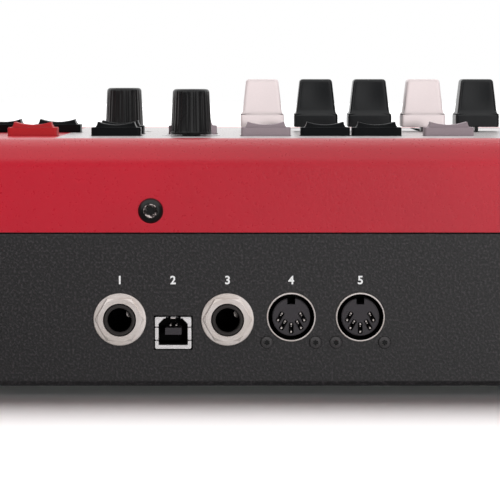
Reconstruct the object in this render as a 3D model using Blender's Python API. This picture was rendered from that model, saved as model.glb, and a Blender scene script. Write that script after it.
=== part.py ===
# Stage keyboard: a red steel cover on a black steel tray, five octaves of moulded keys,
# nine drawbars, knobs, push buttons and a rear wall of sockets.
#
# Metres, +Z up. +X is the player's right, the player sits at -Y and the sockets face +Y.
# The origin is under the middle of the instrument, at the level of the feet.

import math

import bpy
import bmesh
from mathutils import Vector

for old in list(bpy.data.objects):
    bpy.data.objects.remove(old, do_unlink=True)

# Overall sizes
DEPTH = 0.296
FOOT_HEIGHT = 0.0025
TRAY_HEIGHT = 0.0475
COVER_HEIGHT = 0.029

# Sheet metal and running clearances
SHEET = 0.0015
GAP = 0.0003
BEND_RADIUS = 0.009
BEND_STEPS = 6
LIP_BEND_RADIUS = 0.004
LIP_BEND_STEPS = 3
HOLE_CLEARANCE = 0.0003
JOGGLE_HEIGHT = 0.012
JOGGLE_OVERLAP = 0.006

# End cheeks
CHEEK_WIDTH = 0.0245
CHEEK_CREST = 0.012
CHEEK_BROW = 0.008
CHEEK_FRONT_RADIUS = 0.014
CHEEK_FOOT_RADIUS = 0.004
CHEEK_EDGE = 0.0012
CHEEK_STEPS = 8

# Keys
OCTAVES = 5
NATURALS_PER_OCTAVE = 7
KEY_PITCH = 0.0235
KEY_SLIT = 0.001
KEY_SIDE_GAP = 0.0007
KEY_FRONT_GAP = 0.0008
KEY_LENGTH = 0.1455
KEY_SLAB = 0.0055
KEY_DROP = 0.021
APRON_HEIGHT = 0.026
APRON_THICKNESS = 0.003
APRON_INSET = 0.0002
SHARP_LENGTH = 0.095
SHARP_RISE = 0.012
SHARP_WIDTH = 0.0106
SHARP_TOP_WIDTH = 0.0092
SHARP_SLOPE = 0.006
SHARP_CROWN = 0.0015
SHARP_CLEARANCE = 0.0012
SHARP_DROP = 0.035
LEVER_HEIGHT = 0.007
LIP_CLEARANCE = 0.0012
LIP_ABOVE_KEYS = 0.003
SPINE_LENGTH = 0.0262
TAIL_LENGTH = 0.019
SPINE_DROP = 0.009
NATURAL_SWING = math.radians(3.0)
SHARP_SWING = math.radians(4.0)
PIVOT_GAP = 0.0005
LEDGE_GAP = 0.0004
LEDGE_LENGTH = 0.003
LEDGE_HEIGHT = 0.002
FRAME_WALL = 0.0025
RAIL_FLANGE = 0.012
FELT_SPACE = 0.001
FRONT_RAIL_SETBACK = 0.0115
SHARP_RAIL_SETBACK = 0.008

# Rows of the controls, from the rear wall
REAR_ROW = 0.036
SECOND_ROW = 0.057
THIRD_ROW = 0.075
FRONT_KNOB_ROW = 0.083
DRAWBAR_ROW = 0.087
EFFECT_ROW = 0.045
MAT_ROW = 0.100

# Columns of the controls, from the middle of the photographed stretch, and gaps between neighbours
STRETCH_FROM_LEFT = 0.245
RED_COLUMN = 0.0700
BLACK_COLUMN = 0.0431
REAR_KNOB_COLUMN = 0.0190
FRONT_KNOB_COLUMN = 0.0433
THIRD_ROW_COLUMN = 0.0655
THIRD_ROW_GAP = 0.0026
ABOVE_DRAWBARS_COLUMN = -0.0051
ABOVE_DRAWBARS_GAPS = (0.0032, 0.0007, 0.0073)

# Columns of the other controls, from the middle or from an end of the deck
LEVEL_FROM_LEFT = 0.027
DISPLAY_X = -0.020
DIAL_X = 0.060
PROGRAM_LEFT = -0.060
PROGRAM_BUTTONS = 6
EFFECT_BUTTONS = 5
EFFECT_KNOBS = 3
EFFECT_KNOBS_FROM_RIGHT = 0.265
EFFECT_BUTTONS_FROM_RIGHT = 0.275

# Drawbars
DRAWBARS = 9
DRAWBAR_PITCH = 0.0185
LAST_DRAWBAR = -0.0042
DRAWBAR_TRAVEL = 0.032
DRAWBAR_LIFT = 0.0016
DRAWBAR_BLOCK = 0.0042
DRAWBAR_HEIGHT = 0.0164
DRAWBAR_BASE = (0.0149, 0.0140)
DRAWBAR_WAIST = (0.0134, 0.0120)
DRAWBAR_TOP = (0.0110, 0.0090)
DRAWBAR_CORNER = 0.0010
DRAWBAR_ROUNDING = 0.0010
STEM_WIDTH = 0.0024
STEM_DEPTH = 0.008
STEM_CORNER = 0.0004
SLOT_CLEARANCE = 0.0004

# Knobs
KNOB_RADIUS = 0.0062
KNOB_TOP_RADIUS = 0.0056
KNOB_SKIRT_RADIUS = 0.0067
KNOB_HEIGHT = 0.0150
DIAL_RADIUS = 0.0105
SHAFT_RADIUS = 0.003
KNOB_GAP = 0.0004
KNOB_ROUNDING = 0.0009
FLUTE_DEPTH = 0.0003
ROUND_SIDES = 24
HOLE_SIDES = 16
POST_SIDES = 8

# Push buttons
BUTTON_WIDTH = 0.0159
BUTTON_DEPTH = 0.0078
BUTTON_PLINTH = 0.0027
BUTTON_RISE = 0.0018
BUTTON_DIP = 0.0007
BUTTON_SHOULDER = 0.00215
BUTTON_FLARE = 0.0012
BUTTON_NECK = 0.0004
BUTTON_LIP = 0.0006
BUTTON_TRAVEL = 0.0008
MAT_BUTTON_SIZE = (0.012, 0.007)
MAT_BUTTON_RISE = 0.0025
MAT_BUTTON_EDGE = 0.0005
MAT_BUTTON_CORNER = 0.001
MAT_WEB = 0.0015
MAT_MARGIN = 0.0007
PROGRAM_PITCH = 0.020
EFFECT_PITCH = 0.042
EFFECT_KNOB_PITCH = 0.080

# Display
DISPLAY_SIZE = (0.078, 0.028)
DISPLAY_RIM = 0.003
DISPLAY_RIM_HEIGHT = 0.0012
DISPLAY_CORNER = 0.0008

# Boards, posts and the power supply
BOARD = 0.0016
PANEL_BOARD_DROP = 0.0154
MAIN_BOARD_LEVEL = 0.0111
MAIN_BOARD_DEPTH = 0.045
BOARD_MARGIN = 0.0140
POST_RADIUS = 0.003
POST_BITE = 0.0005
POST_SETBACK = 0.011
POST_SHARES = (-0.86, -0.30, 0.30, 0.86)
SUPPLY_SIZE = (0.100, 0.060, 0.034)
EDGE_MARGIN = 0.007

# Sockets: heights are above the tray's underside
JACK_PROUD = 0.003
JACK_LEVEL = 0.0210
JACK_BORE = 0.00365
JACK_BORE_DEPTH = 0.024
JACK_BUSH = 0.0051
JACK_BODY_DEPTH = 0.027
JACK_HALF_WIDTH = 0.0072
NUT_FLATS = 0.0140
NUT_HEIGHT = 0.0014
FLANGE_RADIUS = 0.0081
FLANGE_HEIGHT = 0.0009
LINE_PITCH = 0.028
ROUND_LEVEL = 0.0217
ROUND_RADIUS = 0.00755
ROUND_RIM = 0.0005
ROUND_DISC = 0.0062
ROUND_GROOVE_DEPTH = 0.006
ROUND_PROUD = 0.0008
ROUND_DEPTH = 0.018
ROUND_HALF_WIDTH = 0.0100
CONTACT_CIRCLE = 0.0035
CONTACT_RADIUS = 0.0009
CONTACTS = 5
DATA_LEVEL = 0.0168
DATA_SHELL = (0.01165, 0.0101)
DATA_CAVITY = (0.0091, 0.0083)
DATA_CORNER = 0.0019
DATA_TONGUE = (0.0051, 0.0022)
DATA_TONGUE_SETBACK = 0.001
DATA_CAVITY_DEPTH = 0.009
DATA_DEPTH = 0.016
DATA_PROUD = 0.0006
INLET_LEVEL = 0.024
INLET_FLANGE = (0.031, 0.024)
INLET_BODY = (0.0275, 0.0200)
INLET_CAVITY = (0.0245, 0.0168)
INLET_CAVITY_DEPTH = 0.015
INLET_DEPTH = 0.019
INLET_CORNER = 0.002
INLET_PIN = (0.002, 0.004)
INLET_PIN_PITCH = 0.007
ROCKER_SIZE = (0.0130, 0.0190)
ROCKER_TILT = math.radians(7.0)
ROCKER_PIVOT = 0.002
ROCKER_HUB = 0.005
ROCKER_CLEARANCE = 0.0005
FOOT_RADIUS = 0.012
FOOT_CHAMFER = 0.0006
FOOT_INSET = 0.030

# Places of the sockets along the wall, from the middle of the photographed stretch
LEFT_JACK_X = 0.0401
DATA_X = 0.0237
RIGHT_JACK_X = 0.0069
ROUND_OUT_X = -0.0127
ROUND_GAP = 0.0013
CONTROL_JACK_X = 0.0870
LINE_PAIR_X = 0.1450
HEADPHONE_X = 0.2060
INLET_FROM_RIGHT = 0.075
ROCKER_FROM_RIGHT = 0.045

# Levels and faces that follow
UNDERSIDE = FOOT_HEIGHT
SEAM = UNDERSIDE + TRAY_HEIGHT
DECK = SEAM + COVER_HEIGHT
DECK_UNDER = DECK - SHEET
BOARD_TOP = DECK - PANEL_BOARD_DROP
MAIN_BOARD_TOP = UNDERSIDE + MAIN_BOARD_LEVEL
FRONT = -DEPTH / 2
WALL = DEPTH / 2 - JACK_PROUD
WALL_INSIDE = WALL - SHEET
COVER_REAR = WALL + GAP
NATURALS = OCTAVES * NATURALS_PER_OCTAVE + 1
HALF_KEYS = NATURALS * KEY_PITCH / 2
HALF_TRAY = HALF_KEYS + KEY_SIDE_GAP + SHEET
HALF_LENGTH = HALF_TRAY + GAP + CHEEK_WIDTH
STRETCH = -HALF_LENGTH + STRETCH_FROM_LEFT
KEY_TOP = DECK - KEY_DROP
KEY_FRONT = FRONT + SHEET + KEY_FRONT_GAP
KEY_REAR = KEY_FRONT + KEY_LENGTH
SHARP_FRONT = KEY_REAR - SHARP_LENGTH
LIP_FACE = KEY_REAR + LIP_CLEARANCE
LIP_EDGE = KEY_TOP + LIP_ABOVE_KEYS
SPINE_FRONT = LIP_FACE + TAIL_LENGTH
PIVOT_Y = SPINE_FRONT + SPINE_LENGTH
SPINE_BOTTOM = KEY_TOP - SPINE_DROP
NATURAL_PIVOT_Z = (KEY_TOP + SPINE_BOTTOM) / 2
LEVER_TOP = DECK - SHARP_DROP
LEVER_BOTTOM = LEVER_TOP - LEVER_HEIGHT
SHARP_PIVOT_Z = (LEVER_TOP + LEVER_BOTTOM) / 2
SHARP_BODY_BOTTOM = LEVER_BOTTOM + LEVER_HEIGHT / 2
APRON_BOTTOM = KEY_TOP - APRON_HEIGHT
FRONT_WALL_TOP = APRON_BOTTOM + 2 * SHEET


def material(name, colour, roughness, metallic=0.0):
    """A plain finish in the piece's own colour."""
    made = bpy.data.materials.new(name)
    made.use_nodes = True
    shader = made.node_tree.nodes["Principled BSDF"]
    shader.inputs["Base Color"].default_value = (*colour, 1.0)
    shader.inputs["Roughness"].default_value = roughness
    shader.inputs["Metallic"].default_value = metallic
    return made


RED_PAINT = ("red paint", (0.48, 0.018, 0.037), 0.4)
BLACK_POWDER = ("black powder coat", (0.026, 0.024, 0.025), 0.6)
BLACK_PLASTIC = ("black plastic", (0.012, 0.012, 0.013), 0.45)
BROWN_PLASTIC = ("brown plastic", (0.10, 0.035, 0.02), 0.45)
WHITE_PLASTIC = ("white plastic", (0.76, 0.70, 0.69), 0.4)
BLACK_RUBBER = ("black rubber", (0.012, 0.013, 0.014), 0.5)
GREY_RUBBER = ("grey rubber", (0.24, 0.20, 0.22), 0.7)
RED_RUBBER = ("red rubber", (0.50, 0.03, 0.04), 0.6)
KEY_WHITE = ("key white", (0.85, 0.84, 0.80), 0.25)
KEY_BLACK = ("key black", (0.010, 0.010, 0.011), 0.35)
NICKEL = ("nickel", (0.62, 0.59, 0.55), 0.3, 1.0)
STEEL = ("bare steel", (0.50, 0.50, 0.50), 0.4, 1.0)
BOARD_GREEN = ("board green", (0.02, 0.12, 0.05), 0.5)
GLASS_BLACK = ("display glass", (0.010, 0.014, 0.018), 0.12)
RUBBER = ("foot rubber", (0.02, 0.02, 0.02), 0.85)


def piece(name, shape, finish, location=(0, 0, 0), smooth=False):
    """Turn a bmesh into a named object with its own finish."""
    bmesh.ops.recalc_face_normals(shape, faces=shape.faces)
    mesh = bpy.data.meshes.new(name)
    shape.to_mesh(mesh)
    shape.free()
    made = bpy.data.objects.new(name, mesh)
    made.location = location
    bpy.context.scene.collection.objects.link(made)
    if finish:
        mesh.materials.append(material(name + " " + finish[0], *finish[1:]))
    if smooth:
        mesh.shade_smooth()
        mesh.set_sharp_from_angle(angle=math.radians(35))
    return made


def combine(target, shape, operation, name):
    """Add or cut a guide that stays in the file as a wire outline."""
    guide = piece(target.name + "." + name, shape, None, target.location)
    guide.display_type = "WIRE"
    guide.hide_render = True
    change = target.modifiers.new(name, "BOOLEAN")
    change.operation = operation
    change.solver = "EXACT"
    change.object = guide


def rings(shape, loops, closed=False):
    """Skin a row of loops that have the same number of points, and cap its ends."""
    rows = [[shape.verts.new(point) for point in loop] for loop in loops]
    count = len(rows[0])
    pairs = list(zip(rows, rows[1:]))
    if closed:
        pairs.append((rows[-1], rows[0]))
    for near, far in pairs:
        for index in range(count):
            after = (index + 1) % count
            shape.faces.new((near[index], near[after], far[after], far[index]))
    if not closed:
        shape.faces.new(rows[0])
        shape.faces.new(rows[-1])


def oriented(axis, first, second, along):
    """A point whose third value runs along the axis."""
    if axis == "X":
        return Vector((along, first, second))
    if axis == "Y":
        return Vector((first, along, second))
    return Vector((first, second, along))


def prism(shape, outline, axis, start, end):
    """Extrude a closed outline along an axis."""
    rings(shape, [[oriented(axis, a, b, at) for a, b in outline] for at in (start, end)])


def box(shape, low, high):
    """A block between two corners."""
    corners = [(low[0], low[1]), (high[0], low[1]), (high[0], high[1]), (low[0], high[1])]
    prism(shape, corners, "Z", low[2], high[2])


def polygon_loop(axis, reach, along, sides, centre=(0, 0), corners=0, stretch=1.0):
    """A loop at one radius. With corners it follows a regular polygon, and reach is to its flats.

    A stretch makes the loop's second axis longer than its first.
    """
    loop = []
    for index in range(sides):
        angle = math.tau * index / sides
        radius = reach
        if corners:
            step = math.tau / corners
            radius = reach / math.cos((angle + step / 2) % step - step / 2)
        first = centre[0] + radius * math.cos(angle)
        second = centre[1] + radius * math.sin(angle) * stretch
        loop.append(oriented(axis, first, second, along))
    return loop


def cylinder(shape, axis, radius, start, end, sides, centre=(0, 0)):
    """A plain cylinder along an axis."""
    rings(shape, [polygon_loop(axis, radius, at, sides, centre) for at in (start, end)])


def rectangle_loop(axis, half, along, corner=0.0, centre=(0, 0)):
    """A rectangle's loop, with its corners cut by the given length."""
    loop = []
    for sign_a, sign_b in ((1, 1), (-1, 1), (-1, -1), (1, -1)):
        ends = [(half[0] * sign_a, (half[1] - corner) * sign_b)]
        ends.append(((half[0] - corner) * sign_a, half[1] * sign_b))
        if sign_a != sign_b:
            ends.reverse()
        loop.extend(oriented(axis, centre[0] + a, centre[1] + b, along) for a, b in ends)
    return loop


def arc(centre, radius, start, end, steps):
    """Points on an arc, with its angles in degrees."""
    points = []
    for step in range(steps + 1):
        angle = math.radians(start + (end - start) * step / steps)
        points.append((centre[0] + radius * math.cos(angle), centre[1] + radius * math.sin(angle)))
    return points


# Columns and rows of everything that comes through the deck
REAR_ROW_Y = WALL - REAR_ROW
SECOND_ROW_Y = WALL - SECOND_ROW
THIRD_ROW_Y = WALL - THIRD_ROW
DRAWBAR_Y = WALL - DRAWBAR_ROW
MAT_Y = WALL - MAT_ROW
EFFECT_Y = WALL - EFFECT_ROW
RED_X = STRETCH + RED_COLUMN
BLACK_X = STRETCH + BLACK_COLUMN
THIRD_ROW_X = STRETCH + THIRD_ROW_COLUMN
ABOVE_DRAWBARS_X = [STRETCH + ABOVE_DRAWBARS_COLUMN]
for gap in ABOVE_DRAWBARS_GAPS:
    ABOVE_DRAWBARS_X.append(ABOVE_DRAWBARS_X[-1] - BUTTON_WIDTH - gap)

BUTTON_SIZE = (BUTTON_WIDTH, BUTTON_DEPTH)
BUTTONS = {
    "button_red": (RED_X, REAR_ROW_Y, RED_RUBBER),
    "button_black_1": (BLACK_X, REAR_ROW_Y, BLACK_RUBBER),
    "button_black_2": (BLACK_X, SECOND_ROW_Y, BLACK_RUBBER),
    "button_black_3": (THIRD_ROW_X, THIRD_ROW_Y, BLACK_RUBBER),
    "button_black_4": (THIRD_ROW_X + BUTTON_WIDTH + THIRD_ROW_GAP, THIRD_ROW_Y, BLACK_RUBBER),
    "button_grey_1": (STRETCH + REAR_KNOB_COLUMN, SECOND_ROW_Y, GREY_RUBBER),
    "button_grey_2": (ABOVE_DRAWBARS_X[0], REAR_ROW_Y, GREY_RUBBER),
    "button_black_5": (ABOVE_DRAWBARS_X[1], REAR_ROW_Y, BLACK_RUBBER),
    "button_black_6": (ABOVE_DRAWBARS_X[2], REAR_ROW_Y, BLACK_RUBBER),
    "button_grey_3": (ABOVE_DRAWBARS_X[3], REAR_ROW_Y, GREY_RUBBER),
}
KNOBS = {
    "knob_organ_rear": (STRETCH + REAR_KNOB_COLUMN, REAR_ROW_Y),
    "knob_organ_front": (STRETCH + FRONT_KNOB_COLUMN, WALL - FRONT_KNOB_ROW),
    "knob_level": (-HALF_TRAY + LEVEL_FROM_LEFT, REAR_ROW_Y),
}
for index in range(EFFECT_KNOBS):
    x = HALF_TRAY - EFFECT_KNOBS_FROM_RIGHT + index * EFFECT_KNOB_PITCH
    KNOBS["knob_effect_" + str(index + 1)] = (x, EFFECT_Y)
DIAL = (DIAL_X, EFFECT_Y)
DISPLAY = (DISPLAY_X, EFFECT_Y)
EFFECT_BUTTONS_X = HALF_TRAY - EFFECT_BUTTONS_FROM_RIGHT
MAT_PLACES = [PROGRAM_LEFT + PROGRAM_PITCH * index for index in range(PROGRAM_BUTTONS)]
MAT_PLACES += [EFFECT_BUTTONS_X + EFFECT_PITCH * index for index in range(EFFECT_BUTTONS)]
FIRST_DRAWBAR_X = STRETCH + LAST_DRAWBAR - DRAWBAR_PITCH * (DRAWBARS - 1)
DRAWBAR_PLACES = [FIRST_DRAWBAR_X + DRAWBAR_PITCH * index for index in range(DRAWBARS)]
POST_ROWS = (LIP_FACE + POST_SETBACK, WALL - POST_SETBACK)
POST_PLACES = [(HALF_LENGTH * share, y) for share in POST_SHARES for y in POST_ROWS]


def top_cover():
    """Folded red sheet: rear drop, deck and the lip behind the keys."""
    rear = (COVER_REAR - BEND_RADIUS, DECK - BEND_RADIUS)
    front = (LIP_FACE + LIP_BEND_RADIUS, DECK - LIP_BEND_RADIUS)
    outline = [(COVER_REAR, SEAM + GAP)]
    outline += arc(rear, BEND_RADIUS, 0, 90, BEND_STEPS)
    outline += arc(front, LIP_BEND_RADIUS, 90, 180, LIP_BEND_STEPS)
    outline += [(LIP_FACE, LIP_EDGE), (LIP_FACE + SHEET, LIP_EDGE)]
    outline += arc(front, LIP_BEND_RADIUS - SHEET, 180, 90, LIP_BEND_STEPS)
    outline += arc(rear, BEND_RADIUS - SHEET, 90, 0, BEND_STEPS)
    outline += [(COVER_REAR - SHEET, SEAM + GAP)]
    shape = bmesh.new()
    prism(shape, outline, "X", -HALF_TRAY, HALF_TRAY)
    cover = piece("top_cover", shape, RED_PAINT)

    cuts = bmesh.new()
    low, high = DECK_UNDER - SHEET, DECK + SHEET
    half = STEM_WIDTH / 2 + SLOT_CLEARANCE
    reach = STEM_DEPTH / 2 + SLOT_CLEARANCE
    near, far = DRAWBAR_Y - DRAWBAR_TRAVEL - reach, DRAWBAR_Y + reach
    for x in DRAWBAR_PLACES:
        box(cuts, (x - half, near, low), (x + half, far, high))
    for x, y, _ in BUTTONS.values():
        deck_hole(cuts, x, y, BUTTON_SIZE)
    for x in MAT_PLACES:
        deck_hole(cuts, x, MAT_Y, MAT_BUTTON_SIZE)
    deck_hole(cuts, *DISPLAY, DISPLAY_SIZE)
    for x, y in [*KNOBS.values(), DIAL]:
        cylinder(cuts, "Z", SHAFT_RADIUS + HOLE_CLEARANCE, low, high, HOLE_SIDES, (x, y))
    combine(cover, cuts, "DIFFERENCE", "holes")

    posts = bmesh.new()
    top = DECK_UNDER + POST_BITE
    for x, y in POST_PLACES:
        cylinder(posts, "Z", POST_RADIUS, BOARD_TOP + GAP, top, POST_SIDES, (x, y))
    combine(cover, posts, "UNION", "posts")


def deck_hole(cuts, x, y, size):
    """A rectangular hole through the deck, with its running clearance."""
    half = (size[0] / 2 + HOLE_CLEARANCE, size[1] / 2 + HOLE_CLEARANCE)
    box(cuts, (x - half[0], y - half[1], DECK_UNDER - SHEET), (x + half[0], y + half[1], DECK + SHEET))


JACKS = {
    "pedal_jack_left": STRETCH + LEFT_JACK_X,
    "pedal_jack_right": STRETCH + RIGHT_JACK_X,
    "control_pedal_jack": STRETCH + CONTROL_JACK_X,
    "headphone_jack": STRETCH + HEADPHONE_X,
}
LINE_OUT = STRETCH + LINE_PAIR_X
ROUND_OUT = STRETCH + ROUND_OUT_X
ROUND_SOCKETS = {
    "five_pin_socket_out": ROUND_OUT,
    "five_pin_socket_in": ROUND_OUT - 2 * ROUND_HALF_WIDTH - ROUND_GAP,
}
INLET_X = HALF_LENGTH - INLET_FROM_RIGHT
ROCKER_X = HALF_LENGTH - ROCKER_FROM_RIGHT
SUPPLY_X = INLET_X - SUPPLY_SIZE[0] / 2 + INLET_BODY[0] / 2
MAIN_BOARD_LEFT = ROUND_SOCKETS["five_pin_socket_in"] - ROUND_HALF_WIDTH - BOARD_MARGIN
MAIN_BOARD_RIGHT = STRETCH + HEADPHONE_X + JACK_HALF_WIDTH + BOARD_MARGIN
MAIN_BOARD_REAR = WALL_INSIDE - GAP
MAIN_BOARD_FRONT = MAIN_BOARD_REAR - MAIN_BOARD_DEPTH
MAIN_BOARD_COLUMNS = (MAIN_BOARD_LEFT + POST_SETBACK, MAIN_BOARD_RIGHT - POST_SETBACK)
MAIN_BOARD_ROWS = (MAIN_BOARD_FRONT + POST_SETBACK, MAIN_BOARD_REAR - POST_SETBACK)


def bottom_tray():
    """Black folded tray: floor, front wall, and a rear wall joggled in behind the cover."""
    joggle = WALL_INSIDE - SHEET
    floor = UNDERSIDE + SHEET
    high, low = SEAM + JOGGLE_HEIGHT, SEAM - JOGGLE_OVERLAP
    outline = [(FRONT, FRONT_WALL_TOP), (FRONT, UNDERSIDE), (WALL, UNDERSIDE), (WALL, SEAM)]
    outline += [(WALL_INSIDE, SEAM), (WALL_INSIDE, high), (joggle, high), (joggle, low)]
    outline += [(WALL_INSIDE, low), (WALL_INSIDE, floor), (FRONT + SHEET, floor)]
    outline.append((FRONT + SHEET, FRONT_WALL_TOP))
    shape = bmesh.new()
    prism(shape, outline, "X", -HALF_TRAY + SHEET * 2 / 3, HALF_TRAY - SHEET * 2 / 3)
    tray = piece("bottom_tray", shape, BLACK_POWDER)

    extras = bmesh.new()
    for side in (-1, 1):
        ends = sorted((side * HALF_TRAY, side * (HALF_TRAY - SHEET)))
        inset = SHEET / 3
        box(extras, (ends[0], FRONT + inset, UNDERSIDE + inset), (ends[1], WALL - inset, SEAM - inset))
    top = MAIN_BOARD_TOP - BOARD - GAP
    for x in MAIN_BOARD_COLUMNS:
        for y in MAIN_BOARD_ROWS:
            cylinder(extras, "Z", POST_RADIUS, floor - POST_BITE, top, POST_SIDES, (x, y))
    combine(tray, extras, "UNION", "ends_and_posts")

    cuts = bmesh.new()
    start, end = WALL_INSIDE - SHEET / 2, WALL + SHEET / 2
    jack_places = [*JACKS.values(), LINE_OUT - LINE_PITCH / 2, LINE_OUT + LINE_PITCH / 2]
    for x in jack_places:
        centre = (x, UNDERSIDE + JACK_LEVEL)
        cylinder(cuts, "Y", JACK_BUSH + HOLE_CLEARANCE, start, end, ROUND_SIDES, centre)
    for x in ROUND_SOCKETS.values():
        centre = (x, UNDERSIDE + ROUND_LEVEL)
        cylinder(cuts, "Y", ROUND_RADIUS + HOLE_CLEARANCE, start, end, ROUND_SIDES, centre)
    wall_hole(cuts, STRETCH + DATA_X, UNDERSIDE + DATA_LEVEL, DATA_SHELL, HOLE_CLEARANCE)
    wall_hole(cuts, INLET_X, UNDERSIDE + INLET_LEVEL, INLET_BODY, HOLE_CLEARANCE)
    wall_hole(cuts, ROCKER_X, UNDERSIDE + INLET_LEVEL, ROCKER_SIZE, ROCKER_CLEARANCE)
    combine(tray, cuts, "DIFFERENCE", "socket_holes")


def wall_hole(cuts, x, z, size, clearance):
    """A rectangular hole through the rear wall."""
    half = (size[0] / 2 + clearance, size[1] / 2 + clearance)
    low = (x - half[0], WALL_INSIDE - SHEET / 2, z - half[1])
    box(cuts, low, (x + half[0], WALL + SHEET / 2, z + half[1]))


def cheeks():
    """End blocks that follow the deck and fall away beside the keys."""
    crest, brow = LIP_FACE + CHEEK_CREST, KEY_TOP + CHEEK_BROW
    outline = [(COVER_REAR, UNDERSIDE)]
    rear = (COVER_REAR - BEND_RADIUS, DECK - BEND_RADIUS)
    outline += arc(rear, BEND_RADIUS, 0, 90, BEND_STEPS)
    front_start = FRONT + CHEEK_FRONT_RADIUS
    for step in range(CHEEK_STEPS + 1):
        share = step / CHEEK_STEPS
        ease = share * share * (3 - 2 * share)
        outline.append((crest + (front_start - crest) * share, DECK + (brow - DECK) * ease))
    centre = (front_start, brow - CHEEK_FRONT_RADIUS)
    outline += arc(centre, CHEEK_FRONT_RADIUS, 90, 180, BEND_STEPS)[1:]
    centre = (FRONT + CHEEK_FOOT_RADIUS, UNDERSIDE + CHEEK_FOOT_RADIUS)
    outline += arc(centre, CHEEK_FOOT_RADIUS, 180, 270, LIP_BEND_STEPS)
    for side, name in ((-1, "cheek_left"), (1, "cheek_right")):
        shape = bmesh.new()
        ends = sorted((side * (HALF_TRAY + GAP), side * HALF_LENGTH))
        prism(shape, outline, "X", *ends)
        made = piece(name, shape, RED_PAINT, smooth=True)
        edge = made.modifiers.new("soft edges", "BEVEL")
        edge.width = CHEEK_EDGE
        edge.segments = 1
        edge.limit_method = "ANGLE"
        edge.angle_limit = math.radians(60)


def key_frame():
    """Moulded frame under the keys: base, two stop rails and the wall that carries the spines."""
    base_bottom = UNDERSIDE + SHEET + GAP
    base_top = base_bottom + FRAME_WALL
    back = PIVOT_Y + PIVOT_GAP
    natural_rail = KEY_FRONT + FRONT_RAIL_SETBACK
    reach = PIVOT_Y - natural_rail
    natural_top = KEY_TOP - KEY_SLAB - reach * math.sin(NATURAL_SWING) - FELT_SPACE
    sharp_rail = SHARP_FRONT + SHARP_RAIL_SETBACK
    reach = PIVOT_Y - sharp_rail
    sharp_top = LEVER_BOTTOM - reach * math.sin(SHARP_SWING) - FELT_SPACE
    outline = [(natural_rail - FRAME_WALL, base_bottom), (back + FRAME_WALL, base_bottom),
               (back + FRAME_WALL, KEY_TOP)]
    outline.append((back, KEY_TOP))
    for top in (SPINE_BOTTOM - LEDGE_GAP, LEVER_BOTTOM - LEDGE_GAP):
        outline += [(back, top), (back - LEDGE_LENGTH, top), (back - LEDGE_LENGTH, top - LEDGE_HEIGHT)]
        outline.append((back, top - LEDGE_HEIGHT))
    outline.append((back, base_top))
    for near, top in ((sharp_rail, sharp_top), (natural_rail, natural_top)):
        far, under = near + RAIL_FLANGE, top - FRAME_WALL
        web_near = near + (RAIL_FLANGE - FRAME_WALL) / 2
        web_far = web_near + FRAME_WALL
        outline += [(web_far, base_top), (web_far, under), (far, under), (far, top)]
        outline += [(near, top), (near, under), (web_near, under), (web_near, base_top)]
    outline.append((natural_rail - FRAME_WALL, base_top))
    shape = bmesh.new()
    prism(shape, outline, "X", -HALF_KEYS + GAP, HALF_KEYS - GAP)
    piece("key_frame", shape, BLACK_PLASTIC)


def octave_layout():
    """Edges of the seven tails and centres of the five sharps, from the octave's left end."""
    slot = SHARP_WIDTH + 2 * SHARP_CLEARANCE
    tails, sharps = [], []
    left = 0.0
    for naturals in (3, 4):
        width = naturals * KEY_PITCH
        tail = (width - (naturals - 1) * slot) / naturals
        for index in range(naturals):
            start = left + index * (tail + slot)
            tails.append((start, start + tail))
            if index < naturals - 1:
                sharps.append(start + tail + slot / 2)
        left += width
    return tails, sharps


def naturals(octave):
    """One octave's naturals, moulded with their rear spine. The last octave also holds the top key."""
    tails, _ = octave_layout()
    heads = [(index * KEY_PITCH, (index + 1) * KEY_PITCH) for index in range(NATURALS_PER_OCTAVE)]
    tails = [(max(tail[0], head[0]), min(tail[1], head[1])) for tail, head in zip(tails, heads)]
    if octave == OCTAVES - 1:
        heads.append((heads[-1][1], heads[-1][1] + KEY_PITCH))
        tails.append(heads[-1])
    inset = KEY_SLIT / 2
    front, notch = KEY_FRONT - PIVOT_Y, SHARP_FRONT - SHARP_CLEARANCE - PIVOT_Y
    spine = SPINE_FRONT - PIVOT_Y
    slab_bottom = KEY_TOP - KEY_SLAB - NATURAL_PIVOT_Z
    slab_top = KEY_TOP - NATURAL_PIVOT_Z
    outline = []
    for head, tail in zip(heads, tails):
        left, right = head[0] + inset, head[1] - inset
        tail_left, tail_right = max(tail[0], left), min(tail[1], right)
        outline.append((tail_left, spine))
        if tail_left > left:
            outline += [(tail_left, notch), (left, notch)]
        outline += [(left, front), (right, front)]
        if tail_right < right:
            outline += [(right, notch), (tail_right, notch)]
        outline.append((tail_right, spine))
    outline += [(heads[-1][1] - inset, 0), (inset, 0)]
    shape = bmesh.new()
    prism(shape, outline, "Z", slab_bottom, slab_top)
    corner = (-HALF_KEYS + octave * NATURALS_PER_OCTAVE * KEY_PITCH, PIVOT_Y, NATURAL_PIVOT_Z)
    comb = piece("naturals_octave_" + str(octave + 1), shape, KEY_WHITE, corner)

    extras = bmesh.new()
    bite = KEY_SLAB / 3
    for head in heads:
        low = (head[0] + inset + APRON_INSET, front + APRON_INSET, APRON_BOTTOM - NATURAL_PIVOT_Z)
        high = (head[1] - inset - APRON_INSET, front + APRON_THICKNESS, slab_bottom + bite)
        box(extras, low, high)
    low = (inset + APRON_INSET, spine + APRON_INSET, SPINE_BOTTOM - NATURAL_PIVOT_Z)
    box(extras, low, (heads[-1][1] - inset - APRON_INSET, -APRON_INSET, slab_bottom + bite))
    combine(comb, extras, "UNION", "aprons_and_spine")


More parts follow.
